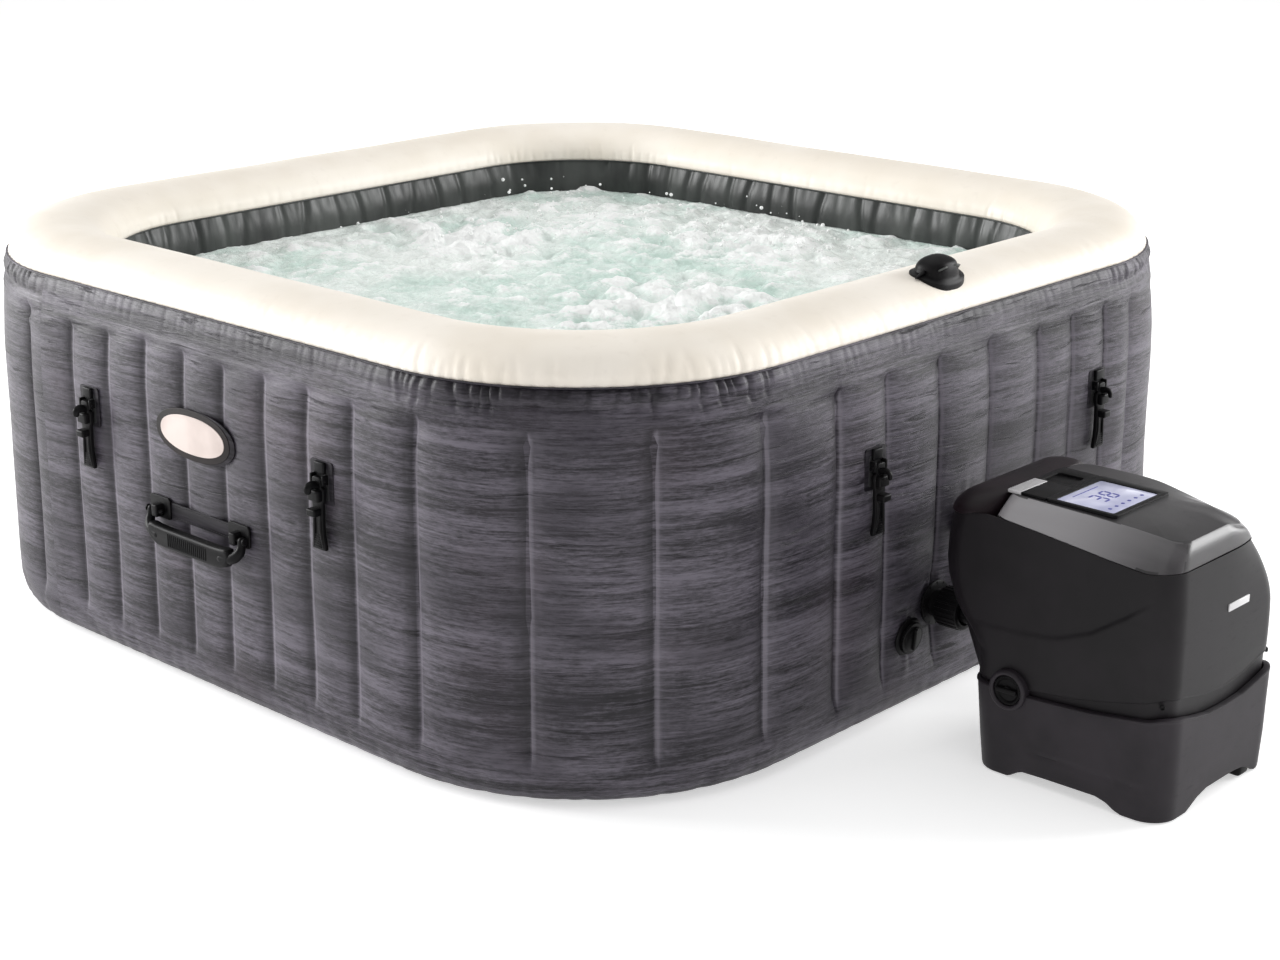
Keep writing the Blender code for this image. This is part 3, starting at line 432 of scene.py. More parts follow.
class Round:
    """Stations round the tub: each has a base point, the way out of the tub and the distance along."""

    def __init__(self, straight, corner):
        base, out, run = [], [], []
        for side in range(4):
            turn = math.pi / 2 * side
            along = np.linspace(-CORNER_CENTRE, CORNER_CENTRE, straight + 1)[:-1]
            c, s = math.cos(turn), math.sin(turn)
            for a in along:
                base.append((c * a + s * CORNER_CENTRE, s * a - c * CORNER_CENTRE))
                out.append((s, -c))
                run.append(side * (SIDE_RUN + CORNER_RUN) + a + CORNER_CENTRE)
            corner_base = (c * CORNER_CENTRE + s * CORNER_CENTRE, s * CORNER_CENTRE - c * CORNER_CENTRE)
            for k in range(corner):
                angle = turn - math.pi / 2 + math.pi / 2 * k / corner
                base.append(corner_base)
                out.append((math.cos(angle), math.sin(angle)))
                run.append(side * (SIDE_RUN + CORNER_RUN) + SIDE_RUN + CORNER_RUN * k / corner)
        self.base, self.out, self.run = np.array(base), np.array(out), np.array(run)
        self.length = 4 * (SIDE_RUN + CORNER_RUN)
        self.count = len(run)
        phase = np.mod(self.run, SIDE_RUN + CORNER_RUN)
        self.cornering = smoothstep(phase, SIDE_RUN - 0.10, SIDE_RUN + 0.14) * (
            1 - smoothstep(phase, SIDE_RUN + CORNER_RUN - 0.14, SIDE_RUN + CORNER_RUN + 0.06))

    def gap_to(self, spot):
        """Signed distance along the wall from a spot, the short way round."""
        return np.mod(self.run - spot + self.length / 2, self.length) - self.length / 2

    def surface(self, half, height, centre=CORNER_CENTRE):
        """Points for half widths and heights, rows by stations. centre is what the corners turn about."""
        reach = half - centre
        x = self.base[:, 0] * centre / CORNER_CENTRE + self.out[:, 0] * reach
        y = self.base[:, 1] * centre / CORNER_CENTRE + self.out[:, 1] * reach
        return np.stack([x, y, np.broadcast_to(height, x.shape)], axis=-1)


def quads(rows, count, closed_rows=True):
    """Faces of a band that closes round the tub, and round its section too."""
    k = np.arange(count)
    following = (k + 1) % count
    made = []
    for r in range(rows if closed_rows else rows - 1):
        below = (r + 1) % rows
        made.append(np.stack([r * count + k, below * count + k, below * count + following,
                              r * count + following], axis=1))
    return np.vstack(made)


def band_chart(run, length, heights, faces, count):
    """Chart coordinates for a band: distance round and height, with the last column carried past the end."""
    row, column = faces // count, faces % count
    along = run[column]
    wraps = (column[:, 2] == 0) | (column[:, 3] == 0)
    along[wraps[:, None] & (column == 0)] += length
    return np.stack([along, heights[row, column]], axis=-1)


def seams_of(side):
    """Where the vertical welds stand on a side, measured from its middle."""
    if side == "unit":
        return (-0.50, -0.33, -0.21, -0.07, 0.07, 0.21, 0.31, 0.41, 0.50)
    return (-0.50, -0.364, -0.260, -0.156, -0.052, 0.052, 0.156, 0.260, 0.364, 0.50)


def weld_runs(round_):
    """All vertical welds as distances round the tub, in order."""
    runs = []
    for index, side in enumerate(("front", "unit", "back", "left")):
        middle = index * (SIDE_RUN + CORNER_RUN) + CORNER_CENTRE
        runs += [middle + a for a in seams_of(side)]
        gap = (CORNER_RUN - 0.10) / 3
        runs += [middle + 0.50 + gap, middle + 0.50 + 2 * gap]
    return np.sort(np.mod(runs, round_.length))


def creases(round_, pitch, seed, corner_gain, straight_gain):
    """Random creases round the tub: places, strengths and slants."""
    draw = np.random.default_rng(seed)
    spots = np.cumsum(draw.uniform(pitch[0], pitch[1], int(round_.length / pitch[0])))
    spots = spots[spots < round_.length - pitch[0]]
    corner = np.interp(spots, round_.run, round_.cornering)
    power = draw.uniform(0.35, 1.0, len(spots)) * (straight_gain + (corner_gain - straight_gain) * corner)
    return list(zip(spots, power, draw.uniform(-0.25, 0.25, len(spots)), draw.uniform(0.6, 1.3, len(spots))))


def crease_field(round_, drop, creases_, width, reach):
    """Depth of the creases at each row and station. drop is the distance from the seam, row by row."""
    field = np.zeros((len(drop), round_.count))
    for spot, power, slant, length in creases_:
        away = round_.gap_to(spot)
        near = np.abs(away) < 6 * width
        side = away[near][None, :] - slant * drop[:, None]
        fade = 1 - smoothstep(drop, 0.25 * reach * length, reach * length)
        field[:, near] += power * fade[:, None] * np.exp(-(side / width) ** 2)
    return field


def uneven(points, scale, seed):
    """Smooth noise at many points, from -1 to 1."""
    shift = Vector((seed * 3.1, seed * 1.7, seed * 2.3))
    return np.array([noise.noise(Vector(p) * scale + shift) for p in points])


def swept(section, ring):
    """The half widths and the heights of a section, row by row, at every station."""
    return [np.repeat(section[:, k:k + 1], ring.count, axis=1) for k in (0, 1)]


def swells(ring, half, height, scale, seed):
    """Slow unevenness of a skin, worked out at every third row and sixth station."""
    sample = ring.surface(half[::3], height[::3])[:, ::6].reshape(-1, 3)
    rough = uneven(sample, scale, seed).reshape(len(half[::3]), -1)
    rows, columns = np.arange(len(half)), np.arange(ring.count)
    coarse = np.array([np.interp(columns, columns[::6], line, period=ring.count) for line in rough])
    return np.array([np.interp(rows, rows[::3], coarse[:, k]) for k in range(ring.count)]).T


def outer_wall():
    """The printed wall: quilted between welds, puckered under the seam, drawn in at the fittings."""
    ring = Round(225, 168)
    tuck = [(0.8300, 0.6560), (0.8440, 0.6530)]
    face = [(0.8512, OUTER_SEAM), (0.8590, 0.6240), (0.8665, 0.5900), (0.8730, 0.5350), (0.8758, 0.4800),
            (0.8768, 0.3400), (0.8782, 0.2000), (0.8796, 0.1200), (0.8800, 0.0750), (0.8766, 0.0390),
            (0.8630, 0.0125), (0.8350, 0.0014), (0.7800, 0.0012)]
    share = spaced((0.125, 20), (0.78, 20), (1, 14))
    section = np.vstack([tuck, spline(face, share), [(0.7800, 0.010), (0.8500, 0.090), (0.8650, 0.300),
                                                     (0.8600, 0.560)]])
    half, height = swept(section, ring)
    first, last = len(tuck), len(tuck) + len(share)
    z = section[first:last, 1]

    welds = weld_runs(ring)
    index = np.searchsorted(welds, ring.run, side="right") - 1
    left = welds[index % len(welds)]
    right = welds[(index + 1) % len(welds)]
    width = np.mod(right - left, ring.length)
    across = np.mod(ring.run - left, ring.length) / width
    crown = np.sin(np.pi * np.clip(across, 0, 1)) ** 0.50
    depth = np.interp(width, (0.09, 0.14, 0.20), (0.0095, 0.0125, 0.0165))
    quilt = -depth * (1 - crown)
    jitter = np.interp(ring.run, welds, np.random.default_rng(3).uniform(-0.006, 0.006, len(welds)))
    top = 0.583 + jitter
    inside = smoothstep(z[:, None], 0.052, 0.090) * (1 - smoothstep(z[:, None], top - 0.012, top + 0.010))
    plain = np.exp(-((z[:, None] - 0.33) / 0.30) ** 8)
    half[first:last] += inside * quilt + (1 - inside) * -0.28 * depth * plain

    drop = OUTER_SEAM - z
    puckers = creases(ring, (0.011, 0.036), 11, 1.0, 0.16)
    half[first:last] -= 0.0082 * crease_field(ring, drop, puckers, 0.0042, 0.046)
    half[first:last] += 0.0040 * np.exp(-((drop[:, None] - 0.014) / 0.012) ** 2) * (0.25 + ring.cornering)
    half[first:last] -= 0.0034 * np.exp(-((drop[:, None] - 0.031 - jitter) / 0.0042) ** 2) * ring.cornering
    half[first:last] += 0.0014 * np.exp(-((z[:, None] - top - 0.006) / 0.0030) ** 2)
    foot = creases(ring, (0.03, 0.07), 12, 0.9, 0.45)
    half[first:last] -= 0.0030 * crease_field(ring, np.maximum(z - 0.02, 0), foot, 0.010, 0.060)
    for (along, up), size, pull in ((DRAIN, 0.055, 0.006), (SUCTION, 0.060, 0.007), (RETURN, 0.060, 0.007),
                                    (AIR, 0.050, 0.006), (INFLATION, 0.045, 0.004)):
        away = ring.gap_to(SIDE_RUN + CORNER_RUN + CORNER_CENTRE + along)[None, :]
        rise = z[:, None] - up
        distance = np.hypot(away, rise)
        fold = 1 + 0.35 * np.cos(9 * np.arctan2(rise, away))
        half[first:last] -= pull * fold * np.exp(-(distance / size) ** 2)

    ease = smoothstep(z, 0.0, 0.05) * (1 - smoothstep(z, 0.60, 0.645))
    half[first:last] += 0.0022 * swells(ring, half[first:last], height[first:last], 7.0, 1) * ease[:, None]

    points = ring.surface(half, height)
    faces = quads(len(section), ring.count)
    chart = band_chart(ring.run, ring.length, height, faces, ring.count)
    skin = piece("outer_wall_skin", points, faces, WALL, "wall_print", "outer_wall", chart)
    # Painted light for the wall's colour: a thin painted highlight just past each weld, and painted shade
    # just before the next one.
    past = np.mod(ring.run - left, ring.length)
    before = np.mod(left - ring.run, ring.length)
    line = np.exp(-((past - 0.004) / 0.0035) ** 2) + 0.30 * np.exp(-((past - 0.012) / 0.020) ** 2)
    line = (line - 0.75 * np.exp(-(before / 0.013) ** 2)
            - 0.9 * np.exp(-(((width - past) - 0.004) / 0.018) ** 2))
    seam_light_and_shade = np.zeros(half.shape, np.float32)
    seam_light_and_shade[first:last] = line * inside * np.random.default_rng(5).uniform(0.75, 1.0, inside.shape)
    # Painted shade: the wall's colour is darkened in the puckers and in a band just under the seam.
    pucker_shade = crease_field(ring, drop, puckers, 0.0050, 0.040)
    seam_light_and_shade[first:last] -= 0.8 * np.clip(pucker_shade, 0, 1) + 0.35 * np.exp(-(drop[:, None] / 0.040) ** 2)
    layer = skin.data.attributes.new("seam_light_and_shade", "FLOAT", "POINT")
    layer.data.foreach_set("value", np.clip(seam_light_and_shade, -1, 1).ravel())


def top_rim():
    """The cream rim, gathered at both of its seams."""
    ring = Round(180, 134)
    face = [(0.6802, INNER_SEAM + 0.0005), (0.6850, 0.6590), (0.7020, 0.6830), (0.7300, 0.6975),
            (0.7650, 0.7020), (0.8000, 0.6975), (0.8280, 0.6850), (0.8460, 0.6650),
            (0.8522, OUTER_SEAM + 0.0010)]
    share = spaced((0.25, 11), (0.70, 12), (1, 16))
    section = np.vstack([spline(face, share), [(0.8460, 0.6430), (0.8200, 0.6560), (0.7650, 0.6700),
                                               (0.7100, 0.6560), (0.6860, 0.6350)]])
    half, height = swept(section, ring)
    count = len(share)
    run = np.concatenate([[0], np.cumsum(np.hypot(*np.diff(section[:count], axis=0).T))])
    slope = np.gradient(section[:count], axis=0)
    normal = np.column_stack([slope[:, 1], -slope[:, 0]])
    normal /= -np.linalg.norm(normal, axis=1)[:, None]
    outer = creases(ring, (0.016, 0.034), 21, 1.0, 0.42)
    inner = creases(ring, (0.020, 0.050), 22, 0.9, 0.35)
    push = -0.0024 * crease_field(ring, run[-1] - run, outer, 0.0052, 0.055)
    push -= 0.0022 * crease_field(ring, run, inner, 0.0060, 0.040)
    push += 0.0016 * swells(ring, half[:count], height[:count], 5.0, 2)
    half[:count] += push * normal[:, :1]
    height[:count] += push * normal[:, 1:]
    centre = np.interp(section[:, :1], (0.6805, 0.6860, 0.7020, 0.7300, 0.7650),
                       (BATH_CORNER_CENTRE, 0.406, 0.416, 0.432, CORNER_CENTRE))
    points = ring.surface(half, height, centre)
    faces = quads(len(section), ring.count)
    skin = piece("rim_skin", points, faces, CREAM, "cream_vinyl", "top_rim")
    weld_bead(ring)


def weld_bead(ring):
    """The welded lip between wall and rim, and the one between rim and bath wall."""
    for name, half, height, size, material, slot in (
            ("outer_weld", 0.8522, OUTER_SEAM, 0.0022, WALL, "wall_print"),
            ("inner_weld", 0.6800, INNER_SEAM, 0.0020, LINER, "liner_vinyl")):
        angles = np.arange(8) * math.tau / 8
        side = 1 if half > 0.75 else -1
        halves = half + side * size * 1.6 * np.cos(-angles)[:, None] + np.zeros((1, ring.count))
        heights = height + size * 0.7 * np.sin(-angles)[:, None] + np.zeros((1, ring.count))
        faces = quads(8, ring.count)
        if side < 0:
            faces = faces[:, ::-1]
        chart = band_chart(ring.run, ring.length, heights, faces, ring.count)
        points = ring.surface(halves, heights, CORNER_CENTRE if side > 0 else BATH_CORNER_CENTRE)
        piece(name, points, faces, material, slot, chart=chart)


def inner_wall():
    """The bath's wall: long soft folds, and short puckers under the seam."""
    ring = Round(150, 60)
    face = [(0.6802, INNER_SEAM), (0.6750, 0.610), (0.6690, 0.560), (0.6640, 0.480), (0.6610, 0.300),
            (0.6630, 0.120), (0.6690, 0.0240)]
    share = np.linspace(0, 1, 40) ** 1.5
    section = np.vstack([spline(face, share), [(0.6740, 0.0240), (0.6700, 0.300), (0.6800, 0.600)]])
    half, height = swept(section, ring)
    z = section[:40, 1]
    drop = INNER_SEAM - z
    folds = creases(ring, (0.045, 0.105), 31, 1.0, 0.85)
    short = creases(ring, (0.020, 0.045), 32, 0.9, 0.6)
    half[:40] += 0.0060 * crease_field(ring, drop, folds, 0.0075, 0.50)
    half[:40] += 0.0022 * crease_field(ring, drop, short, 0.0060, 0.05)
    half[:40] -= 0.0040 * np.exp(-((drop[:, None] - 0.035) / 0.03) ** 2)
    points = ring.surface(half, height, BATH_CORNER_CENTRE)
    faces = quads(len(section), ring.count)[:, ::-1]
    piece("bath_wall_skin", points, faces, LINER, "liner_vinyl", "inner_wall")


def spread_disc(steps, half, centre):
    """An even grid stretched to fill the tub's outline: its points and faces."""
    ring = Round(80, 60)
    outline = ring.surface(np.full((1, ring.count), half), np.zeros((1, ring.count)), centre)[0, :, :2]
    turns = np.mod(np.arctan2(outline[:, 1], outline[:, 0]), math.tau)
    order = np.argsort(turns)
    radii = np.hypot(outline[:, 0], outline[:, 1])[order]
    turns = turns[order]
    ticks = np.linspace(-1, 1, steps + 1)
    u, v = np.meshgrid(ticks, ticks)
    shell = np.maximum(np.abs(u), np.abs(v))
    angle = np.mod(np.arctan2(v, u), math.tau)
    reach = shell * np.interp(angle, turns, radii, period=math.tau)
    points = np.stack([reach * np.cos(angle), reach * np.sin(angle)], axis=-1).reshape(-1, 2)
    i = np.arange(steps * steps)
    corner = (i // steps) * (steps + 1) + i % steps
    faces = np.stack([corner, corner + 1, corner + steps + 2, corner + steps + 1], axis=1)
    return points, faces, shell.reshape(-1)


def grid_edge(steps):
    """The points round the edge of a square grid, in order."""
    side, k = steps + 1, np.arange(steps)
    return np.concatenate([k, k * side + steps, side * side - 1 - k, (steps - k) * side])


def slab(name, half, centre, top, bottom, nodes):
    """A closed sheet across the tub. top and bottom give heights from x, y and nearness to the edge."""
    points, faces, shell = spread_disc(SHEET_STEPS, half, centre)
    count = len(points)
    upper = np.column_stack([points, top(points[:, 0], points[:, 1], shell)])
    lower = np.column_stack([points, bottom(points[:, 0], points[:, 1], shell)])
    edge = grid_edge(SHEET_STEPS)
    following = np.roll(edge, -1)
    rim = np.stack([edge + count, following + count, following, edge], axis=1)
    all_faces = np.vstack([faces, faces[:, ::-1] + count, rim])
    piece(name, np.vstack([upper, lower]), all_faces, LINER, "liner_vinyl", nodes)


def bath_floor():
    """The bath's floor, quilted in long cells."""
    def top(x, y, shell):
        quilt = np.abs(np.sin(np.pi * x / 0.11)) ** 0.5 * np.abs(np.sin(np.pi * y / 0.33)) ** 0.35
        return 0.0235 - 0.0100 * (1 - quilt) - 0.006 * smoothstep(shell, 0.96, 1.0)
    slab("bath_floor_skin", 0.6650, BATH_CORNER_CENTRE, top, lambda x, y, shell: 0 * x + 0.0047,
         "inner_floor")


def ground_sheet():
    """The sheet that the tub stands on, with a ribbed underside."""
    def under(x, y, shell):
        rib = np.cos(np.pi * (x + y) / 0.030) * np.cos(np.pi * (x - y) / 0.030)
        return np.where(shell > 0.985, 0.0, 0.0006 - 0.0006 * smoothstep(rib, -0.2, 0.4))
    slab("ground_sheet_skin", 0.7850, CORNER_CENTRE, lambda x, y, shell: 0 * x + 0.0040, under,
         "base_sheet")


def water():
    """The water: swell, boiling froth over the jets, and a closed underside."""
    points, faces, shell = spread_disc(WATER_STEPS, 0.6700, BATH_CORNER_CENTRE)
    count = len(points)
    height = np.empty(count)
    froth = np.empty(count)
    for i, (x, y) in enumerate(points):
        swell = noise.noise((x * 5.0, y * 5.0, 1.3))
        boil = noise.turbulence((x * 17.0, y * 17.0, 4.1), 4, False, amplitude_scale=0.55,
                                frequency_scale=2.1)
        fine = noise.noise((x * 95.0, y * 95.0, 2.2))
        away = min(math.hypot(x - jet_x, y - jet_y) for jet_x, jet_y in JETS)
        jet = math.exp(-(away / 0.20) ** 2)
        height[i] = 0.008 * swell + (0.010 + 0.015 * jet) * (boil - 0.35) + 0.0026 * fine
        froth[i] = min(1.0, max(0.0, 0.42 + 0.55 * jet + 0.9 * (boil - 0.42) + 0.35 * swell))
    calm = smoothstep(shell, 0.985, 1.0)
    top = np.column_stack([points, WATER_LEVEL + height * (1 - calm) - 0.004 * calm])
    edge = grid_edge(WATER_STEPS)
    depth = 0.030
    skirt = top[edge] - (0, 0, depth)
    skirt[:, :2] *= 0.985
    middle = len(top) + len(edge)
    below = count + np.arange(len(edge))
    following = np.roll(below, -1)
    rim = np.stack([below, following, np.roll(edge, -1), edge], axis=1)
    cap = [(middle, int(b), int(a)) for a, b in zip(below, following)]
    every = np.vstack([top, skirt, [[0, 0, WATER_LEVEL - depth]]])
    obj = piece("bath_water", every, faces.tolist() + rim.tolist() + cap, WATER, None)
    layer = obj.data.attributes.new("froth", "FLOAT", "POINT")
    layer.data.foreach_set("value", np.concatenate([froth, np.zeros(len(every) - count)]).astype(np.float32))
    spray(obj)


# ---------------------------------------------------------------- geometry trees

class Growth:
    """A geometry tree built node by node, with named inputs."""

    def __init__(self, name, inputs):
        self.tree = bpy.data.node_groups.new(name, "GeometryNodeTree")
        self.tree.interface.new_socket("Geometry", in_out="INPUT", socket_type="NodeSocketGeometry")
        self.tree.interface.new_socket("Geometry", in_out="OUTPUT", socket_type="NodeSocketGeometry")
        for label, kind in inputs:
            self.tree.interface.new_socket(label, in_out="INPUT", socket_type=f"NodeSocket{kind}")
        self.given = self.tree.nodes.new("NodeGroupInput")

    def node(self, kind, settings=None, values=None):
        made = self.tree.nodes.new(kind)
        for key, value in (settings or {}).items():
            setattr(made, key, value)
        for key, value in (values or {}).items():
            if isinstance(value, bpy.types.NodeSocket):
                self.tree.links.new(value, made.inputs[key])
            else:
                made.inputs[key].default_value = value
        return made

    def given_as(self, label):
        return self.given.outputs[label]

    def ends_with(self, last_node):
        out = self.tree.nodes.new("NodeGroupOutput")
        self.tree.links.new(last_node.outputs[0], out.inputs[0])
        return self.tree


def copies_tree():
    """Copies of a template along a path. The path's points carry which way is out."""
    g = Growth("copies_along_path", [("Template", "Object"), ("Count", "Int")])
    out = g.node("GeometryNodeInputNamedAttribute", {"data_type": "FLOAT_VECTOR"}, {"Name": "outward"})
    along = g.node("GeometryNodeInputNamedAttribute", {"data_type": "FLOAT_VECTOR"}, {"Name": "along"})
    curve = g.node("GeometryNodeMeshToCurve", values={"Mesh": g.given_as("Geometry")})
    even = g.node("GeometryNodeResampleCurve", {"mode": "COUNT"},
                  {"Curve": curve.outputs[0], "Count": g.given_as("Count")})
    points = g.node("GeometryNodeCurveToPoints", {"mode": "EVALUATED"}, {"Curve": even.outputs[0]})
    first = g.node("FunctionNodeAlignRotationToVector", {"axis": "Z"}, {"Vector": out.outputs[0]})
    second = g.node("FunctionNodeAlignRotationToVector", {"axis": "X", "pivot_axis": "Z"},
                    {"Rotation": first.outputs[0], "Vector": along.outputs[0]})
    template = g.node("GeometryNodeObjectInfo", values={"Object": g.given_as("Template")})
    placed = g.node("GeometryNodeInstanceOnPoints", values={
        "Points": points.outputs[0], "Instance": template.outputs["Geometry"], "Rotation": second.outputs[0]})
    return g.ends_with(g.node("GeometryNodeRealizeInstances", values={0: placed.outputs[0]}))


def drops_tree():
    """Drops scattered over the froth, thickest where the spray value is high."""
    g = Growth("drops_over_froth", [("Density", "Float"), ("Size", "Float"), ("Lift", "Float"),
                                    ("Seed", "Int"), ("Finish", "Material")])
    spray_at = g.node("GeometryNodeInputNamedAttribute", {"data_type": "FLOAT"}, {"Name": "spray"})
    density = g.node("ShaderNodeMath", {"operation": "MULTIPLY"},
                     {0: spray_at.outputs[0], 1: g.given_as("Density")})
    points = g.node("GeometryNodeDistributePointsOnFaces", {"distribute_method": "RANDOM"}, {
        "Mesh": g.given_as("Geometry"), "Density": density.outputs[0], "Seed": g.given_as("Seed")})
    rise = g.node("FunctionNodeRandomValue", {"data_type": "FLOAT"}, {2: 0.0, 3: 1.0, "Seed": 5})
    steep = g.node("ShaderNodeMath", {"operation": "POWER"}, {0: rise.outputs[1], 1: 3.0})
    lift = g.node("ShaderNodeMath", {"operation": "MULTIPLY"}, {0: steep.outputs[0], 1: g.given_as("Lift")})
    offset = g.node("ShaderNodeCombineXYZ", values={"Z": lift.outputs[0]})
    raised = g.node("GeometryNodeSetPosition",
                    values={"Geometry": points.outputs[0], "Offset": offset.outputs[0]})
    ball = g.node("GeometryNodeMeshIcoSphere", values={"Radius": 1.0, "Subdivisions": 2})
    vary = g.node("FunctionNodeRandomValue", {"data_type": "FLOAT"}, {2: 0.25, 3: 1.0, "Seed": 9})
    cubed = g.node("ShaderNodeMath", {"operation": "POWER"}, {0: vary.outputs[1], 1: 2.0})
    size = g.node("ShaderNodeMath", {"operation": "MULTIPLY"}, {0: cubed.outputs[0], 1: g.given_as("Size")})
    placed = g.node("GeometryNodeInstanceOnPoints", values={
        "Points": raised.outputs[0], "Instance": ball.outputs[0], "Scale": size.outputs[0]})
    solid = g.node("GeometryNodeRealizeInstances", values={0: placed.outputs[0]})
    return g.ends_with(g.node("GeometryNodeSetMaterial",
                              values={"Geometry": solid.outputs[0], "Material": g.given_as("Finish")}))


TREES = {}


def grown(obj, build_tree, values):
    """Runs a geometry tree on an object, and leaves plain mesh behind."""
    if build_tree not in TREES:
        TREES[build_tree] = build_tree()
    tree = TREES[build_tree]
    run = obj.modifiers.new("growth", "NODES")
    run.node_group = tree
    sockets = {item.name: item.identifier for item in tree.interface.items_tree if item.in_out == "INPUT"}
    for label, value in values.items():
        run[sockets[label]] = value
    bpy.context.view_layer.update()
    graph = bpy.context.evaluated_depsgraph_get()
    mesh = bpy.data.meshes.new_from_object(obj.evaluated_get(graph))
    obj.modifiers.clear()
    obj.data = mesh


def copies(path, outward, along, template, count, cyclic=False):
    """A part made of copies of the template along a path."""
    mesh = bpy.data.meshes.new("path")
    total = len(path)
    links = [(i, (i + 1) % total) for i in range(total if cyclic else total - 1)]
    mesh.from_pydata([tuple(p) for p in path], links, [])
    for name, vectors in (("outward", outward), ("along", along)):
        vectors = np.broadcast_to(np.asarray(vectors, np.float32), (total, 3))
        layer = mesh.attributes.new(name, "FLOAT_VECTOR", "POINT")
        layer.data.foreach_set("vector", np.ascontiguousarray(vectors).ravel())
    obj = bpy.data.objects.new("path", mesh)
    bpy.context.scene.collection.objects.link(obj)
    shape = bpy.data.meshes.new("template")
    template.to_mesh(shape)
    template.free()
    shape.shade_smooth()
    pattern = bpy.data.objects.new("template", shape)
    bpy.context.scene.collection.objects.link(pattern)
    grown(obj, copies_tree, {"Template": pattern, "Count": count})
    made = bmesh.new()
    made.from_mesh(obj.data)
    for each in (obj, pattern):
        bpy.data.objects.remove(each)
    return made


def spray(water_piece):
    """Drops thrown up from the froth."""
    mesh = water_piece.data.copy()
    place = np.empty(len(mesh.vertices) * 3, np.float32)
    mesh.vertices.foreach_get("co", place)
    place = place.reshape(-1, 3)
    near = np.exp(-(((place[:, 0] - 0.02) / 0.24) ** 2 + ((place[:, 1] - 0.47) / 0.11) ** 2))
    near += 0.40 * np.exp(-(((place[:, 0] + 0.45) / 0.16) ** 2 + ((place[:, 1] - 0.30) / 0.25) ** 2))
    near = np.where(place[:, 2] > WATER_LEVEL - 0.015, np.minimum(near, 1.0), 0.0) + 0.0
    layer = mesh.attributes.new("spray", "FLOAT", "POINT")
    layer.data.foreach_set("value", near.astype(np.float32))
    obj = bpy.data.objects.new("water_drops", mesh)
    bpy.context.scene.collection.objects.link(obj)
    grown(obj, drops_tree, {"Density": 2600.0, "Size": 0.0042, "Lift": 0.052, "Seed": 4, "Finish": WATER})
    layer = obj.data.attributes.get("froth") or obj.data.attributes.new("froth", "FLOAT", "POINT")
    layer.data.foreach_set("value", np.full(len(obj.data.vertices), 0.9, np.float32))
    obj.data.shade_smooth()
    belongs(obj, None)


# ---------------------------------------------------------------- hard parts

class Assembly:
    """Closed parts gathered into one piece."""

    def __init__(self):
        self.mesh = bmesh.new()

    def add(self, part, material=0, turn=None):
        if turn is not None:
            part.transform(turn)
        for face in part.faces:
            face.material_index = material
        gathered = bpy.data.meshes.new("part")
        part.to_mesh(gathered)
        part.free()
        self.mesh.from_mesh(gathered)
        bpy.data.meshes.remove(gathered)
        return self

    def finished(self, name, materials, slot, nodes=(), body=TUB, turn=None, angle=35):
        mesh = bpy.data.meshes.new(name)
        if turn is not None:
            self.mesh.transform(turn)
        self.mesh.to_mesh(mesh)
        self.mesh.free()
        for material in materials if isinstance(materials, list) else [materials]:
            mesh.materials.append(material)
        obj = bpy.data.objects.new(name, mesh)
        bpy.context.scene.collection.objects.link(obj)
        mesh.shade_smooth()
        mesh.set_sharp_from_angle(angle=math.radians(angle))
        return belongs(obj, slot, nodes, body)


def tidy(part):
    bmesh.ops.remove_doubles(part, verts=part.verts, dist=1e-6)
    bmesh.ops.recalc_face_normals(part, faces=part.faces)
    return part


def box(low, high, radius=0.0015, segments=3):
    part = bmesh.new()
    bmesh.ops.create_cube(part, size=1.0)
    low, high = Vector(low), Vector(high)
    for vert in part.verts:
        vert.co = Vector(low[k] + (high[k] - low[k]) * (vert.co[k] + 0.5) for k in range(3))
    bmesh.ops.bevel(part, geom=list(part.edges), offset=radius, segments=segments, affect="EDGES",
                    profile=0.5)
    return tidy(part)


def plate(outline, low, high, bevel, segments=2):
    """A flat part: the outline in x and z, from y = low to y = high."""
    part = bmesh.new()
    face = part.faces.new([part.verts.new((x, low, z)) for x, z in outline])
    moved = bmesh.ops.extrude_face_region(part, geom=[face])
    for vert in (v for v in moved["geom"] if isinstance(v, bmesh.types.BMVert)):
        vert.co.y = high
    tidy(part)
    rims = [e for e in part.edges if abs(e.verts[0].co.y - e.verts[1].co.y) < 1e-9]
    bmesh.ops.bevel(part, geom=rims, offset=bevel, segments=segments, affect="EDGES", profile=0.5)
    return tidy(part)


def lathe(profile, origin=(0, 0, 0), along=(0, 0, 1), sides=64):
    """A turned part: (radius, distance along). Ends at radius 0 close in a pole, others join up."""
    part = bmesh.new()
    rows = []
    for radius, distance in profile:
        if radius == 0.0:
            rows.append([part.verts.new((0, 0, distance))])
        else:
            rows.append([part.verts.new((radius * math.cos(a), radius * math.sin(a), distance))
                         for a in (math.tau * k / sides for k in range(sides))])
    closed = profile[0][0] != 0.0 or profile[-1][0] != 0.0
    for lower, upper in zip(rows, rows[1:] + (rows[:1] if closed else [])):
        for k in range(sides):
            n = (k + 1) % sides
            corners = list(dict.fromkeys((lower[k % len(lower)], lower[n % len(lower)],
                                          upper[n % len(upper)], upper[k % len(upper)])))
            if len(corners) > 2:
                part.faces.new(corners)
    part.transform(Matrix.Translation(origin) @ Vector(along).to_track_quat("Z", "Y").to_matrix().to_4x4())
    return tidy(part)


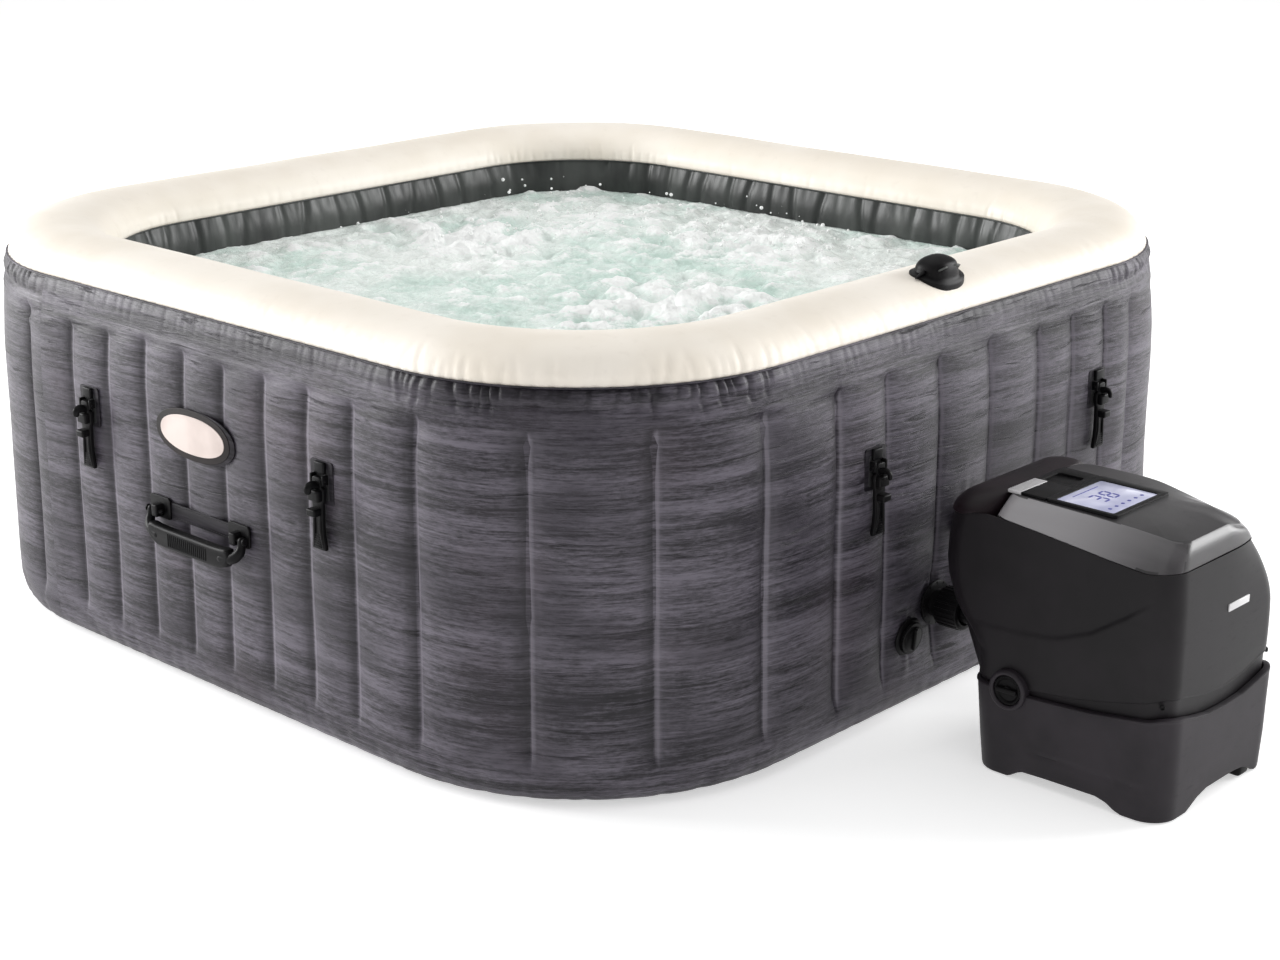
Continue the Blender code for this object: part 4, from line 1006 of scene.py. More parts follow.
def bar(points, radius, sides=20, flat=1.0):
    """A bar with round ends. radius is one number, or one a station, and flat squeezes it sideways."""
    radius = np.broadcast_to(np.asarray(radius, float), (len(points),))
    stations = np.column_stack([np.asarray(points, float), radius])
    path = spline(stations, 8 * (len(stations) - 1) + 1)
    total = len(path)
    tangent = np.gradient(path[:, :3], axis=0)
    tangent /= np.linalg.norm(tangent, axis=1)[:, None]
    normal = Vector(tangent[0]).orthogonal().normalized()
    part = bmesh.new()
    rows = []

    def ring_at(centre, direction, around, size):
        other = direction.cross(around)
        return [part.verts.new(centre + size * (math.cos(a) * around + flat * math.sin(a) * other))
                for a in (math.tau * k / sides for k in range(sides))]

    for k in range(total):
        direction = Vector(tangent[k])
        normal = (normal - direction * normal.dot(direction)).normalized()
        centre, size = Vector(path[k, :3]), float(path[k, 3])
        if k == 0:
            for back in (0.85, 0.5):
                rows.append(ring_at(centre - direction * size * back, direction, normal,
                                    size * math.sqrt(1 - back ** 2)))
        rows.append(ring_at(centre, direction, normal, size))
        if k == total - 1:
            for back in (0.5, 0.85):
                rows.append(ring_at(centre + direction * size * back, direction, normal,
                                    size * math.sqrt(1 - back ** 2)))
    for lower, upper in zip(rows, rows[1:]):
        for k in range(sides):
            n = (k + 1) % sides
            part.faces.new((lower[k], lower[n], upper[n], upper[k]))
    part.faces.new(rows[0][::-1])
    part.faces.new(rows[-1])
    return tidy(part)


def circle(radius, count, origin, along):
    """Points of a circle, and the directions out of it and round it."""
    frame_ = Vector(along).to_track_quat("Z", "Y").to_matrix()
    angles = [math.tau * k / count for k in range(count)]
    points = [Vector(origin) + frame_ @ Vector((radius * math.cos(a), radius * math.sin(a), 0))
              for a in angles]
    out = [tuple(frame_ @ Vector((math.cos(a), math.sin(a), 0))) for a in angles]
    return points, out


def side_turn(index):
    """From the front to the given side."""
    return Matrix.Rotation(math.radians(90 * index), 4, "Z")


# ---------------------------------------------------------------- trim on the tub

def badge():
    """The blank oval badge: a dark plate set a little to one side as a painted shadow, a dark edge, and the
    pale face.
    """
    def oval(half_x, half_z, shift=0.0, steps=72):
        return [(shift + half_x * math.copysign(abs(math.cos(a)) ** 0.92, math.cos(a)),
                 0.452 + half_z * math.copysign(abs(math.sin(a)) ** 0.92, math.sin(a)))
                for a in (math.tau * k / steps for k in range(steps))]
    made = Assembly()
    # Painted shadow: a thin dark plate in the patch finish, shifted a little to one side behind the badge.
    made.add(plate(oval(0.0965, 0.0425, BADGE_AT + 0.0125), -0.8753, -0.8778, 0.0003), 2)
    made.add(plate(oval(0.0965, 0.0425, BADGE_AT), -0.8752, -0.8788, 0.0008, 3), 1)
    made.add(plate(oval(0.0835, 0.0320, BADGE_AT), -0.8756, -0.8799, 0.0007, 3), 0)
    made.finished("oval_badge", [BADGE_FACE, BADGE_EDGE, PATCH], "badge_plate", "badge")


def grip():
    """A carry handle's bail: a thick moulded grip between two uprights that turn on pins."""
    y, z = HANDLE_AXIS
    made = Assembly()
    half = [(0.1205, y, z + 0.0005), (0.1205, y - 0.0010, z - 0.0100), (0.1190, y - 0.0050, z - 0.0200),
            (0.1080, y - 0.0095, z - 0.0290), (0.0850, y - 0.0110, z - 0.0335)]
    thick = [0.0062, 0.0072, 0.0086, 0.0100, 0.0108]
    for side in (-1, 1):
        made.add(bar([(side * a, b, c) for a, b, c in half], thick))
        made.add(bar([(side * 0.0925, y, z), (side * 0.1190, y, z)], 0.0039))
        pin_head = [(0.0, -0.0022), (0.0048, -0.0022), (0.0060, -0.0010), (0.0060, 0.0010), (0.0, 0.0010)]
        made.add(lathe(pin_head, (side * 0.1282, y, z), (-side, 0, 0), 32))
    right = [(0.060, z - 0.0165), (0.086, z - 0.0155), (0.097, z - 0.0140), (0.104, z - 0.0150),
             (0.109, z - 0.0240), (0.108, z - 0.0340), (0.100, z - 0.0450), (0.082, z - 0.0510),
             (0.060, z - 0.0520)]
    made.add(plate(right + [(-a, c) for a, c in reversed(right)], y - 0.0205, y - 0.0020, 0.0058, 4))
    rib = box((-0.0009, -0.0110, -0.0004), (0.0009, 0.0110, 0.0011), 0.0003, 1)
    line = [(a, y - 0.0204, z - 0.0343) for a in np.linspace(-0.050, 0.050, 8)]
    made.add(copies(line, (0, -1, 0), (1, 0, 0), rib, 20))
    return made


def grip_strip():
    """The vinyl patch on the wall with the handle's two bearings."""
    y, z = HANDLE_AXIS
    made = Assembly()
    made.add(plate(rounded_outline(0.122, 0.0135, 0.006, (0.0, z + 0.004)), -0.8753, -0.8784, 0.0007), 1)
    for side in (-1, 1):
        low, high = sorted((side * 0.0962, side * 0.1108))
        made.add(box((low, y - 0.0078, z - 0.0093), (high, -0.8765, z + 0.0118), 0.0026, 4))
        made.add(plate(rounded_outline(0.0270, 0.0190, 0.006, (side * 0.1045, z + 0.0045)), -0.8768, -0.8811,
                       0.0012, 3))
    for end in (-0.5, 0.5):
        line = [(a, -0.8785, z + 0.004 + end * 0.021) for a in np.linspace(-0.070, 0.070, 6)]
        stitch = box((-0.0022, -0.0005, -0.0001), (0.0022, 0.0005, 0.0005), 0.00025, 2)
        made.add(copies(line, (0, -1, 0), (1, 0, 0), stitch, 22), 2)
    return made


def rounded_outline(half_x, half_z, radius, middle=(0.0, 0.0), steps=8):
    points = []
    for quarter, (sx, sz) in enumerate(((1, 1), (-1, 1), (-1, -1), (1, -1))):
        for k in range(steps + 1):
            a = math.pi / 2 * (quarter + k / steps)
            points.append((middle[0] + sx * (half_x - radius) + radius * math.cos(a),
                           middle[1] + sz * (half_z - radius) + radius * math.sin(a)))
    return points


def handles():
    for label, index in (("front", 0), ("back", 2)):
        turn = side_turn(index) @ Matrix.Translation((HANDLE_AT, 0, 0))
        grip().finished(f"carry_grip_{label}", BLACK, "black_plastic", f"handle_grip_{label}",
                        f"handle_{label}", turn)
        grip_strip().finished(f"carry_strip_{label}", [BLACK, PATCH, STRAP], "black_plastic",
                              f"handle_anchor_{label}", TUB, turn)


def clip_part():
    """A cover buckle's clip: a hooked head on its cross bar, a thumb knob, a ribbed neck, a flared tail."""
    y, z = CLIP_AXIS
    made = Assembly()
    made.add(bar([(-0.0156, y, z), (0.0156, y, z)], 0.0020, 16))
    right = [(0.0070, z + 0.0048), (0.0098, z + 0.0022), (0.0104, z - 0.0100), (0.0150, z - 0.0130),
             (0.0158, z - 0.0180), (0.0150, z - 0.0320), (0.0118, z - 0.0380), (0.0112, z - 0.0560),
             (0.0106, z - 0.0740), (0.0118, z - 0.0900), (0.0152, z - 0.1080), (0.0146, z - 0.1118)]
    left = [(-a, c) for a, c in reversed(right)]
    made.add(plate(left[-2:] + right + left[:-2], y + 0.0029, y - 0.0046, 0.0016, 3))
    made.add(box((-0.0125, y - 0.0130, z - 0.0330), (0.0125, y - 0.0020, z - 0.0150), 0.0030, 4))
    made.add(bar([(0.0, y - 0.0030, z - 0.0090), (0.0, y - 0.0130, z - 0.0065), (0.0, y - 0.0200, z - 0.0095),
                  (0.0, y - 0.0215, z - 0.0165)], [0.0050, 0.0046, 0.0042, 0.0036], 14, flat=1.5))
    made.add(box((-0.0100, y - 0.0190, z - 0.0560), (0.0100, y - 0.0030, z - 0.0440), 0.0028, 4))
    for side in (-1, 1):
        made.add(bar([(side * 0.0072, y - 0.0040, z - 0.0540), (side * 0.0070, y - 0.0052, z - 0.0740),
                      (side * 0.0084, y - 0.0048, z - 0.0900), (side * 0.0112, y - 0.0030, z - 0.1080)],
                     0.0024, 12))
    ridge = box((-0.0007, -0.0085, -0.0004), (0.0007, 0.0085, 0.0013), 0.0003, 2)
    line = [(0.0, y - 0.0046, z - a) for a in np.linspace(0.0880, 0.1070, 5)]
    made.add(copies(line, (0, -1, 0), (0, 0, 1), ridge, 6))
    return made


def patch_part():
    """The welded patch of one buckle, with its two lugs and a line of stitches."""
    y = CLIP_AXIS[0]
    made = Assembly()
    made.add(plate(rounded_outline(0.0260, 0.0340, 0.0050, (0.0, 0.446)), -0.8750, -0.8774, 0.0005), 2)
    made.add(plate(rounded_outline(0.0170, 0.0250, 0.0040, (0.0, 0.443)), -0.8755, -0.8780, 0.0006), 0)
    made.add(box((-0.0115, -0.8836, 0.4602), (0.0115, -0.8760, 0.4790), 0.0024, 3), 1)
    for side in (-1, 1):
        low, high = sorted((side * 0.0116, side * 0.0159))
        made.add(box((low, y - 0.0043, 0.4442), (high, -0.8765, 0.4598), 0.0012, 3), 1)
    edge = rounded_outline(0.0150, 0.0230, 0.0030, (0.0, 0.443), 5)
    path = [(a, -0.8780, b) for a, b in edge]
    step = np.roll(np.array(path), -1, 0) - np.roll(np.array(path), 1, 0)
    along = step / np.linalg.norm(step, axis=1)[:, None]
    stitch = box((-0.0010, -0.00025, -0.0001), (0.0010, 0.00025, 0.00035), 0.00015, 1)
    made.add(copies(path, (0, -1, 0), along, stitch, 44, cyclic=True), 0)
    return made


def buckles():
    for index, (label, spots) in enumerate(BUCKLES.items()):
        for letter, spot in zip("ab", spots):
            turn = side_turn(index) @ Matrix.Translation((spot, 0, 0))
            clip_part().finished(f"clip_{label}_{letter}_piece", BLACK, "black_plastic",
                                 f"buckle_clip_{label}_{letter}", f"clip_{label}_{letter}", turn)
            patch_part().finished(f"patch_{label}_{letter}_piece", [STRAP, BLACK, PATCH], "webbing",
                                  f"buckle_patch_{label}_{letter}", TUB, turn)


def rim_cowl():
    """The hooded vent on the rim: a domed hood with two slots, on a saddle foot with pointed ears."""
    crown = (0.7300, 0.7650, 0.8000, 0.8280, 0.8460), (0.6981, 0.7026, 0.6981, 0.6856, 0.6656)
    part = bmesh.new()
    rows = []
    steps = 48
    for level in np.linspace(0, 1, 22):
        if level < 0.15:
            half_x, half_y, rise = 0.0350, 0.0500, 0.0035 * level / 0.15
        elif level < 0.25:
            half_x = np.interp(level, (0.15, 0.25), (0.0345, 0.0300))
            half_y = np.interp(level, (0.15, 0.25), (0.0490, 0.0360))
            rise = 0.0040
        else:
            t = (level - 0.25) / 0.75
            bulge = max(math.cos(t * math.pi / 2) ** 0.55 if t < 1 else 0, 0.02)
            half_x, half_y, rise = 0.0300 * bulge, 0.0360 * bulge, 0.0045 + 0.0245 * t ** 0.8
        blend = min(1.0, level / 0.6)
        loop = []
        for k in range(steps):
            a = math.tau * k / steps
            ex = math.copysign(abs(math.cos(a)) ** 0.75, math.cos(a))
            ey = math.copysign(abs(math.sin(a)) ** 0.75, math.sin(a))
            x = 0.8000 + half_x * ex
            foot = np.interp(x, *crown)
            z = (1 - blend) * foot + blend * 0.7026 + rise
            loop.append(part.verts.new((x, half_y * ey, z)))
        rows.append(loop)
    for lower, upper in zip(rows, rows[1:]):
        for k in range(steps):
            n = (k + 1) % steps
            part.faces.new((lower[k], lower[n], upper[n], upper[k]))
    part.faces.new(rows[0][::-1])
    part.faces.new(rows[-1])
    made = Assembly().add(tidy(part))
    for side in (-1, 1):
        made.add(bar([(0.8230, side * 0.0050, 0.7120), (0.8270, side * 0.0150, 0.7150),
                      (0.8240, side * 0.0260, 0.7120)], 0.0032, 12, flat=0.5), 1)
        made.add(bar([(0.8000, side * 0.0400, 0.7060), (0.8005, side * 0.0500, 0.7030),
                      (0.8010, side * 0.0590, 0.7005)], [0.0060, 0.0038, 0.0012], 14, flat=0.6))
    made.finished("vent_cowl", [BLACK, LINER], "black_plastic", "rim_cowl")


def valve_caps():
    """Drain and inflation valves: flanged bodies and ribbed caps with grip bars."""
    tilted = (math.cos(0.10), 0, -math.sin(0.10))
    for name, spot, along, body, flange, body_node, cap_node in (
            ("drain", DRAIN, tilted, 0.0250, 0.0330, "drain_body", "drain_cap"),
            ("inflation", INFLATION, (1, 0, 0), 0.0200, 0.0290, "inflation_valve", "inflation_cap")):
        origin = (0.8757, *spot)
        made = Assembly()
        made.add(lathe([(flange, 0.0008), (flange - 0.0012, 0.0030), (flange - 0.0042, 0.0046),
                        (body, 0.0050), (body - 0.0036, 0.0050), (body - 0.0038, 0.0),
                        (body - 0.0038, -0.0180), (body - 0.0005, -0.0180), (body - 0.0005, -0.0008),
                        (flange - 0.0005, -0.0006)], origin, along))
        made.finished(f"{name}_valve_piece", BLACK, "black_plastic", body_node)
        grip_radius = body - 0.0050
        made = Assembly()
        made.add(lathe([(0.0, 0.0132), (grip_radius - 0.0012, 0.0134), (grip_radius + 0.0006, 0.0122),
                        (grip_radius + 0.0012, 0.0108), (grip_radius + 0.0060, 0.0106),
                        (grip_radius + 0.0068, 0.0098), (grip_radius + 0.0068, 0.0060), (grip_radius, 0.0058),
                        (grip_radius - 0.0006, -0.0100), (0.0, -0.0100)], origin, along))
        spin = Matrix.Translation(origin) @ Vector(along).to_track_quat("Z", "Y").to_matrix().to_4x4()
        half = grip_radius - 0.0015
        made.add(box((-0.0034, -half, 0.0125), (0.0034, half, 0.0172), 0.0014), turn=spin)
        ring, out = circle(grip_radius + 0.0068, 64, Vector(origin) + Vector(along) * 0.0082, along)
        rib = box((-0.0020, -0.0006, -0.0006), (0.0020, 0.0006, 0.0006), 0.0003, 1)
        made.add(copies(ring, out, along, rib, 36, cyclic=True))
        made.finished(f"{name}_cap_piece", BLACK, "black_plastic", cap_node, cap_node)


def port_fittings():
    """Wall fittings of the three ports, and the ribbed union nuts that join them to the unit."""
    for name, (across, height), radius in (("suction", SUCTION, 0.0235), ("return", RETURN, 0.0235),
                                           ("air", AIR, 0.0185)):
        origin, along = (0.0, across, height), (1, 0, 0)
        made = Assembly()
        flange = radius + 0.0145
        made.add(lathe([(radius - 0.0045, 0.6555), (radius - 0.0045, 0.9178), (radius, 0.9178),
                        (radius, 0.8805), (flange - 0.0040, 0.8797), (flange - 0.0004, 0.8782),
                        (flange, 0.8768), (flange, 0.8758), (radius, 0.8750), (radius, 0.6610),
                        (flange - 0.001, 0.6606), (flange, 0.6590), (flange - 0.001, 0.6568),
                        (radius + 0.001, 0.6552)], origin, along))
        ring, out = circle(flange - 0.0042, 48, (0.8793, across, height), along)
        stud = box((-0.0026, -0.0011, -0.0004), (0.0026, 0.0011, 0.0009), 0.0005, 2)
        made.add(copies(ring, along, out, stud, 12, cyclic=True))
        made.finished(f"{name}_port_piece", BLACK, "black_plastic", f"{name}_fitting")
        made = Assembly()
        nut = radius + 0.0088
        made.add(lathe([(radius + 0.0006, 0.8932), (radius + 0.0006, 0.9402), (nut - 0.0030, 0.9402),
                        (nut - 0.0008, 0.9388), (nut, 0.9360), (nut, 0.8972), (nut - 0.0010, 0.8944),
                        (nut - 0.0030, 0.8932)], origin, along))
        ring, out = circle(nut - 0.0002, 64, (0.9166, across, height), along)
        rib = box((-0.0195, -0.0016, -0.0010), (0.0195, 0.0016, 0.0013), 0.0009, 2)
        made.add(copies(ring, out, along, rib, 24, cyclic=True))
        made.finished(f"{name}_nut_piece", BLACK, "black_plastic", f"{name}_union", f"{name}_union")


# ---------------------------------------------------------------- control unit

UNIT_MIDDLE = -0.070


def level_ring(x0, x1, y0, y1, radius, straight=(74, 64), corner=14):
    """A level rounded rectangle as an array of x, y: front side first, then anticlockwise seen from above."""
    points = []
    centres = ((x1 - radius, y0 + radius), (x1 - radius, y1 - radius), (x0 + radius, y1 - radius),
               (x0 + radius, y0 + radius))
    starts = ((x0 + radius, y0), (x1, y0 + radius), (x1 - radius, y1), (x0, y1 - radius))
    ends = ((x1 - radius, y0), (x1, y1 - radius), (x0 + radius, y1), (x0, y0 + radius))
    for side in range(4):
        count = straight[side % 2]
        (ax, ay), (bx, by) = starts[side], ends[side]
        points += [(ax + (bx - ax) * k / count, ay + (by - ay) * k / count) for k in range(count)]
        cx, cy = centres[side]
        for k in range(corner):
            a = math.pi / 2 * (side - 1 + k / corner)
            points.append((cx + radius * math.cos(a), cy + radius * math.sin(a)))
    return np.array(points)


def stack(rows, caps=False):
    """A closed part from level rings of equal length. Without caps the last ring joins the first."""
    part = bmesh.new()
    made = [[part.verts.new(p) for p in row] for row in rows]
    count = len(made[0])
    pairs = list(zip(made, made[1:])) + ([] if caps else [(made[-1], made[0])])
    for lower, upper in pairs:
        for k in range(count):
            n = (k + 1) % count
            part.faces.new((lower[k], lower[n], upper[n], upper[k]))
    if caps:
        for row in (made[0], made[-1]):
            middle = part.verts.new(sum((v.co for v in row), Vector()) / count)
            for k in range(count):
                part.faces.new((row[k], row[(k + 1) % count], middle))
    return tidy(part)


def at_height(ring, height):
    return np.column_stack([ring, np.broadcast_to(height, len(ring))])


def side_shares(points):
    """How far each point belongs to the unit's long sides, and to its far end."""
    long_side = smoothstep(np.abs(points[:, 1] - UNIT_MIDDLE), 0.118, 0.150)
    end = smoothstep(points[:, 0], 1.370, 1.394)
    return long_side, end


def lip_height(points):
    """Top of the tray: it climbs towards the outer corners and dips in the middle of the end."""
    x, y = points[:, 0], np.abs(points[:, 1] - UNIT_MIDDLE)
    along = np.interp(x, (1.03, 1.16, 1.20, 1.27, 1.335, 1.375, 1.41),
                      (0.143, 0.141, 0.143, 0.148, 0.157, 0.163, 0.168))
    across = np.interp(y, (0.0, 0.05, 0.09, 0.12, 0.16), (0.148, 0.150, 0.157, 0.164, 0.168))
    end = smoothstep(x, 1.372, 1.402)
    return along * (1 - end) + np.minimum(across, 0.168) * end


def skirt_height(points):
    """Bottom edge of the body, over the dark band."""
    x, y = points[:, 0], np.abs(points[:, 1] - UNIT_MIDDLE)
    along = np.interp(x, (1.03, 1.16, 1.247, 1.31, 1.374, 1.40), (0.148, 0.150, 0.161, 0.174, 0.190, 0.195))
    across = np.interp(y, (0.0, 0.06, 0.11, 0.16), (0.174, 0.180, 0.191, 0.196))
    end = smoothstep(x, 1.368, 1.396)
    return along * (1 - end) + across * end


def foot_height(points):
    """Bottom edge of the tray between and over its feet."""
    x, y = points[:, 0], points[:, 1]
    front = np.interp(x, (1.136, 1.150, 1.162, 1.200, 1.288, 1.306, 1.320, 1.332),
                      (0.0, 0.009, 0.0140, 0.0155, 0.0165, 0.0120, 0.0040, 0.0))
    end = np.interp(y, (-0.156, -0.146, -0.125, -0.098, -0.020, 0.004, 0.030, 0.045),
                    (0.0, 0.0040, 0.0140, 0.0205, 0.0205, 0.0180, 0.0100, 0.0))
    on_end = (x > 1.345) & (np.abs(y - UNIT_MIDDLE) < 0.135)
    on_side = np.abs(y - UNIT_MIDDLE) > 0.135
    back = np.interp(np.abs(y - UNIT_MIDDLE), (0.08, 0.10), (0.012, 0.0))
    return np.where(on_side, front, np.where(on_end, end, back))


def unit_tray():
    """The dark tray that the unit stands in: four feet, a fine groove and a few slats."""
    def ring(level, inset=0.0):
        table = ((0.0, 1.0700, 1.3980, -0.2285, 0.0885), (0.012, 1.0665, 1.4010, -0.2315, 0.0915),
                 (0.060, 1.0620, 1.4035, -0.2340, 0.0940), (0.100, 1.0585, 1.4040, -0.2350, 0.0950),
                 (0.140, 1.0550, 1.4050, -0.2360, 0.0960), (0.170, 1.0530, 1.4050, -0.2360, 0.0960))
        heights = [row[0] for row in table]
        x0, x1, y0, y1 = (np.interp(level, heights, [row[k] for row in table]) for k in (1, 2, 3, 4))
        return level_ring(x0 + inset, x1 - inset, y0 + inset, y1 - inset, 0.044 - inset)
    low, high = foot_height(ring(0.0)), lip_height(ring(0.16))
    rows = [at_height(ring(0.02, 0.0070), 0.0240), at_height(ring(0.01, 0.0048), low + 0.0025),
            at_height(ring(0.0, 0.0030), low), at_height(ring(0.0, 0.0006), low + 0.0006)]
    for share in np.concatenate([[0.004, 0.012], np.linspace(0.03, 0.955, 26), [0.975]]):
        level = low + (high - low) * share
        mean = float(np.mean(level))
        plain = ring(mean)
        groove = 0.0016 * np.exp(-((level - 0.052) / 0.0022) ** 2) * smoothstep(plain[:, 0], 1.15, 1.20)
        groove = groove * (1 - smoothstep(plain[:, 0], 1.385, 1.398))
        inward = np.sign(plain[:, 1] - UNIT_MIDDLE)
        plain[:, 1] -= inward * groove
        rows.append(at_height(plain, level))
    rows += [at_height(ring(0.165, -0.0006), high - 0.0030), at_height(ring(0.165, -0.0003), high - 0.0010),
             at_height(ring(0.165, 0.0012), high), at_height(ring(0.165, 0.0060), high + 0.0004),
             at_height(ring(0.165, 0.0092), high + 0.0002), at_height(ring(0.165, 0.0100), high - 0.0016),
             at_height(ring(0.13, 0.0100), high - 0.030), at_height(ring(0.03, 0.0100), 0.032)]
    made = Assembly().add(stack(rows, caps=True))
    for x in (1.116, 1.362):
        for y in (-0.196, 0.056):
            pad = 0.017 if x < 1.2 or y < 0 else 0.015
            foot = [(0.0, 0.0), (pad - 0.001, 0.0), (pad, 0.0012), (pad - 0.0015, 0.0250), (0.0, 0.0250)]
            made.add(lathe(foot, (x, y, 0.0003), sides=32), 1)
    made.add(box((1.3600, 0.0040, 0.0004), (1.3995, 0.0340, 0.0200), 0.0060, 4), 1)
    slat = box((-0.0016, -0.0260, -0.0004), (0.0016, 0.0260, 0.0012), 0.0006, 2)
    line = [(x, 0.0945, 0.095) for x in np.linspace(1.215, 1.325, 4)]
    made.add(copies(line, (0, 1, 0), (1, 0, 0), slat, 14), 1)
    made.finished("unit_tray", [TRAY, BLACK], "unit_plastic", "unit_base", angle=30)


def shouldered(points, level):
    """Draws the far side in where it rounds over towards the outer end."""
    pull = 0.050 * np.clip((level - 0.262) / 0.122, 0, 1.06) ** 1.7
    weight = smoothstep(points[:, 0], 1.150, 1.372)
    share = np.clip((points[:, 1] - UNIT_MIDDLE) / 0.155, 0, 1)
    moved = points.copy()
    moved[:, 1] -= pull * weight * share
    moved[:, 0] -= 0.30 * pull * smoothstep(points[:, 0], 1.36, 1.395) * share ** 3
    return moved


def swoosh(points, level):
    """How proud the lower body stands at a height: it steps out below a rising line on each long side."""
    x = points[:, 0]
    line = np.interp(x, (1.02, 1.088, 1.145, 1.206, 1.265, 1.323, 1.360, 1.42),
                     (0.236, 0.237, 0.240, 0.248, 0.272, 0.312, 0.340, 0.360))
    fade = smoothstep(x, 1.040, 1.085) * (1 - smoothstep(x, 1.325, 1.375))
    gap = line - level
    step = smoothstep(gap, -0.0012, 0.0030) * (1 - smoothstep(gap, 0.012, 0.085))
    return 0.0026 * fade * step


def unit_body():
    """The unit's middle shell, with the step along each side and the overhang towards the tub."""
    table = ((0.150, 1.0560, 1.3955, -0.2300, 0.0900, 0.038), (0.190, 1.0550, 1.3970, -0.2310, 0.0910, 0.040),
             (0.207, 1.0530, 1.3970, -0.2312, 0.0912, 0.040), (0.227, 1.0380, 1.3970, -0.2312, 0.0912, 0.040),
             (0.245, 1.0200, 1.3968, -0.2312, 0.0912, 0.040), (0.262, 1.0060, 1.3965, -0.2310, 0.0910, 0.041),
             (0.300, 0.9890, 1.3950, -0.2302, 0.0902, 0.042), (0.325, 0.9845, 1.3938, -0.2294, 0.0894, 0.043),
             (0.355, 0.9850, 1.3920, -0.2280, 0.0880, 0.043), (0.384, 0.9890, 1.3895, -0.2262, 0.0862, 0.044),
             (0.420, 0.9960, 1.3850, -0.2240, 0.0840, 0.046))

    def ring(level, inset=0.0):
        heights = [row[0] for row in table]
        x0, x1, y0, y1, radius = (np.interp(level, heights, column) for column in list(zip(*table))[1:])
        made = level_ring(x0 + inset, x1 - inset, y0 + inset, y1 - inset, radius - inset)
        bulge = 0.0022 * np.cos(np.pi / 2 * np.clip((made[:, 1] - UNIT_MIDDLE) / 0.16, -1, 1))
        made[:, 0] += bulge * smoothstep(made[:, 0], 1.36, 1.39)
        return shouldered(made, level)

    bottom = skirt_height(ring(0.19))
    lip = lip_height(ring(0.16))
    top = cover_edge(ring(0.384)) - 0.0010
    rows = [at_height(ring(0.19, 0.0080), lip - 0.010), at_height(ring(0.19, 0.0052), lip - 0.010),
            at_height(ring(0.19, 0.0046), lip - 0.0010), at_height(ring(0.19, 0.0036), bottom - 0.0022),
            at_height(ring(0.19, 0.0032), bottom - 0.0006), at_height(ring(0.19, 0.0024), bottom),
            at_height(ring(0.19, 0.0010), bottom), at_height(ring(0.19, 0.0002), bottom + 0.0008)]
    for share in np.concatenate([[0.012, 0.025], np.linspace(0.04, 0.985, 62)]):
        level = bottom + (top - bottom) * share
        flat = ring(float(np.mean(level)))
        proud = swoosh(flat, level) * side_shares(flat)[0]
        flat[:, 1] += np.sign(flat[:, 1] - UNIT_MIDDLE) * proud
        rows.append(at_height(flat, level))
    rows += [at_height(ring(0.384, 0.0008), top), at_height(ring(0.384, 0.0030), top),
             at_height(ring(0.384, 0.0036), top - 0.0020), at_height(ring(0.30, 0.0040), 0.300)]
    made = Assembly().add(stack(rows))
    for side in (-1, 1):
        y = UNIT_MIDDLE + side * 0.1535
        out = Vector((0.62, side * 0.78, 0)).normalized()
        spot = Vector((1.3865, y, 0.1860)) - out * 0.002
        made.add(lathe([(0.0042, 0.0), (0.0042, 0.0022), (0.0036, 0.0028), (0.0026, 0.0028), (0.0024, 0.0008),
                        (0.0, 0.0006), (0.0, 0.0)], tuple(spot), tuple(out), 24), 1)
    slat = box((-0.0014, -0.0200, -0.0004), (0.0014, 0.0200, 0.0010), 0.0005, 2)
    line = [(x, 0.0905, 0.205) for x in np.linspace(1.100, 1.190, 4)]
    made.add(copies(line, (0, 1, 0), (1, 0, 0), slat, 12), 1)
    made.finished("unit_body", [SHELL, BLACK], "unit_plastic", "unit_shell", angle=38)


def cover_edge(points):
    """Where the cover meets the body: it falls along each side towards the outer end."""
    x = points[:, 0]
    along = np.interp(x, (1.02, 1.069, 1.110, 1.170, 1.231, 1.290, 1.343, 1.380),
                      (0.400, 0.410, 0.408, 0.402, 0.395, 0.388, 0.383, 0.386))
    long_side, end = side_shares(points)
    return along * long_side * (1 - end) + 0.386 * (1 - long_side * (1 - end))


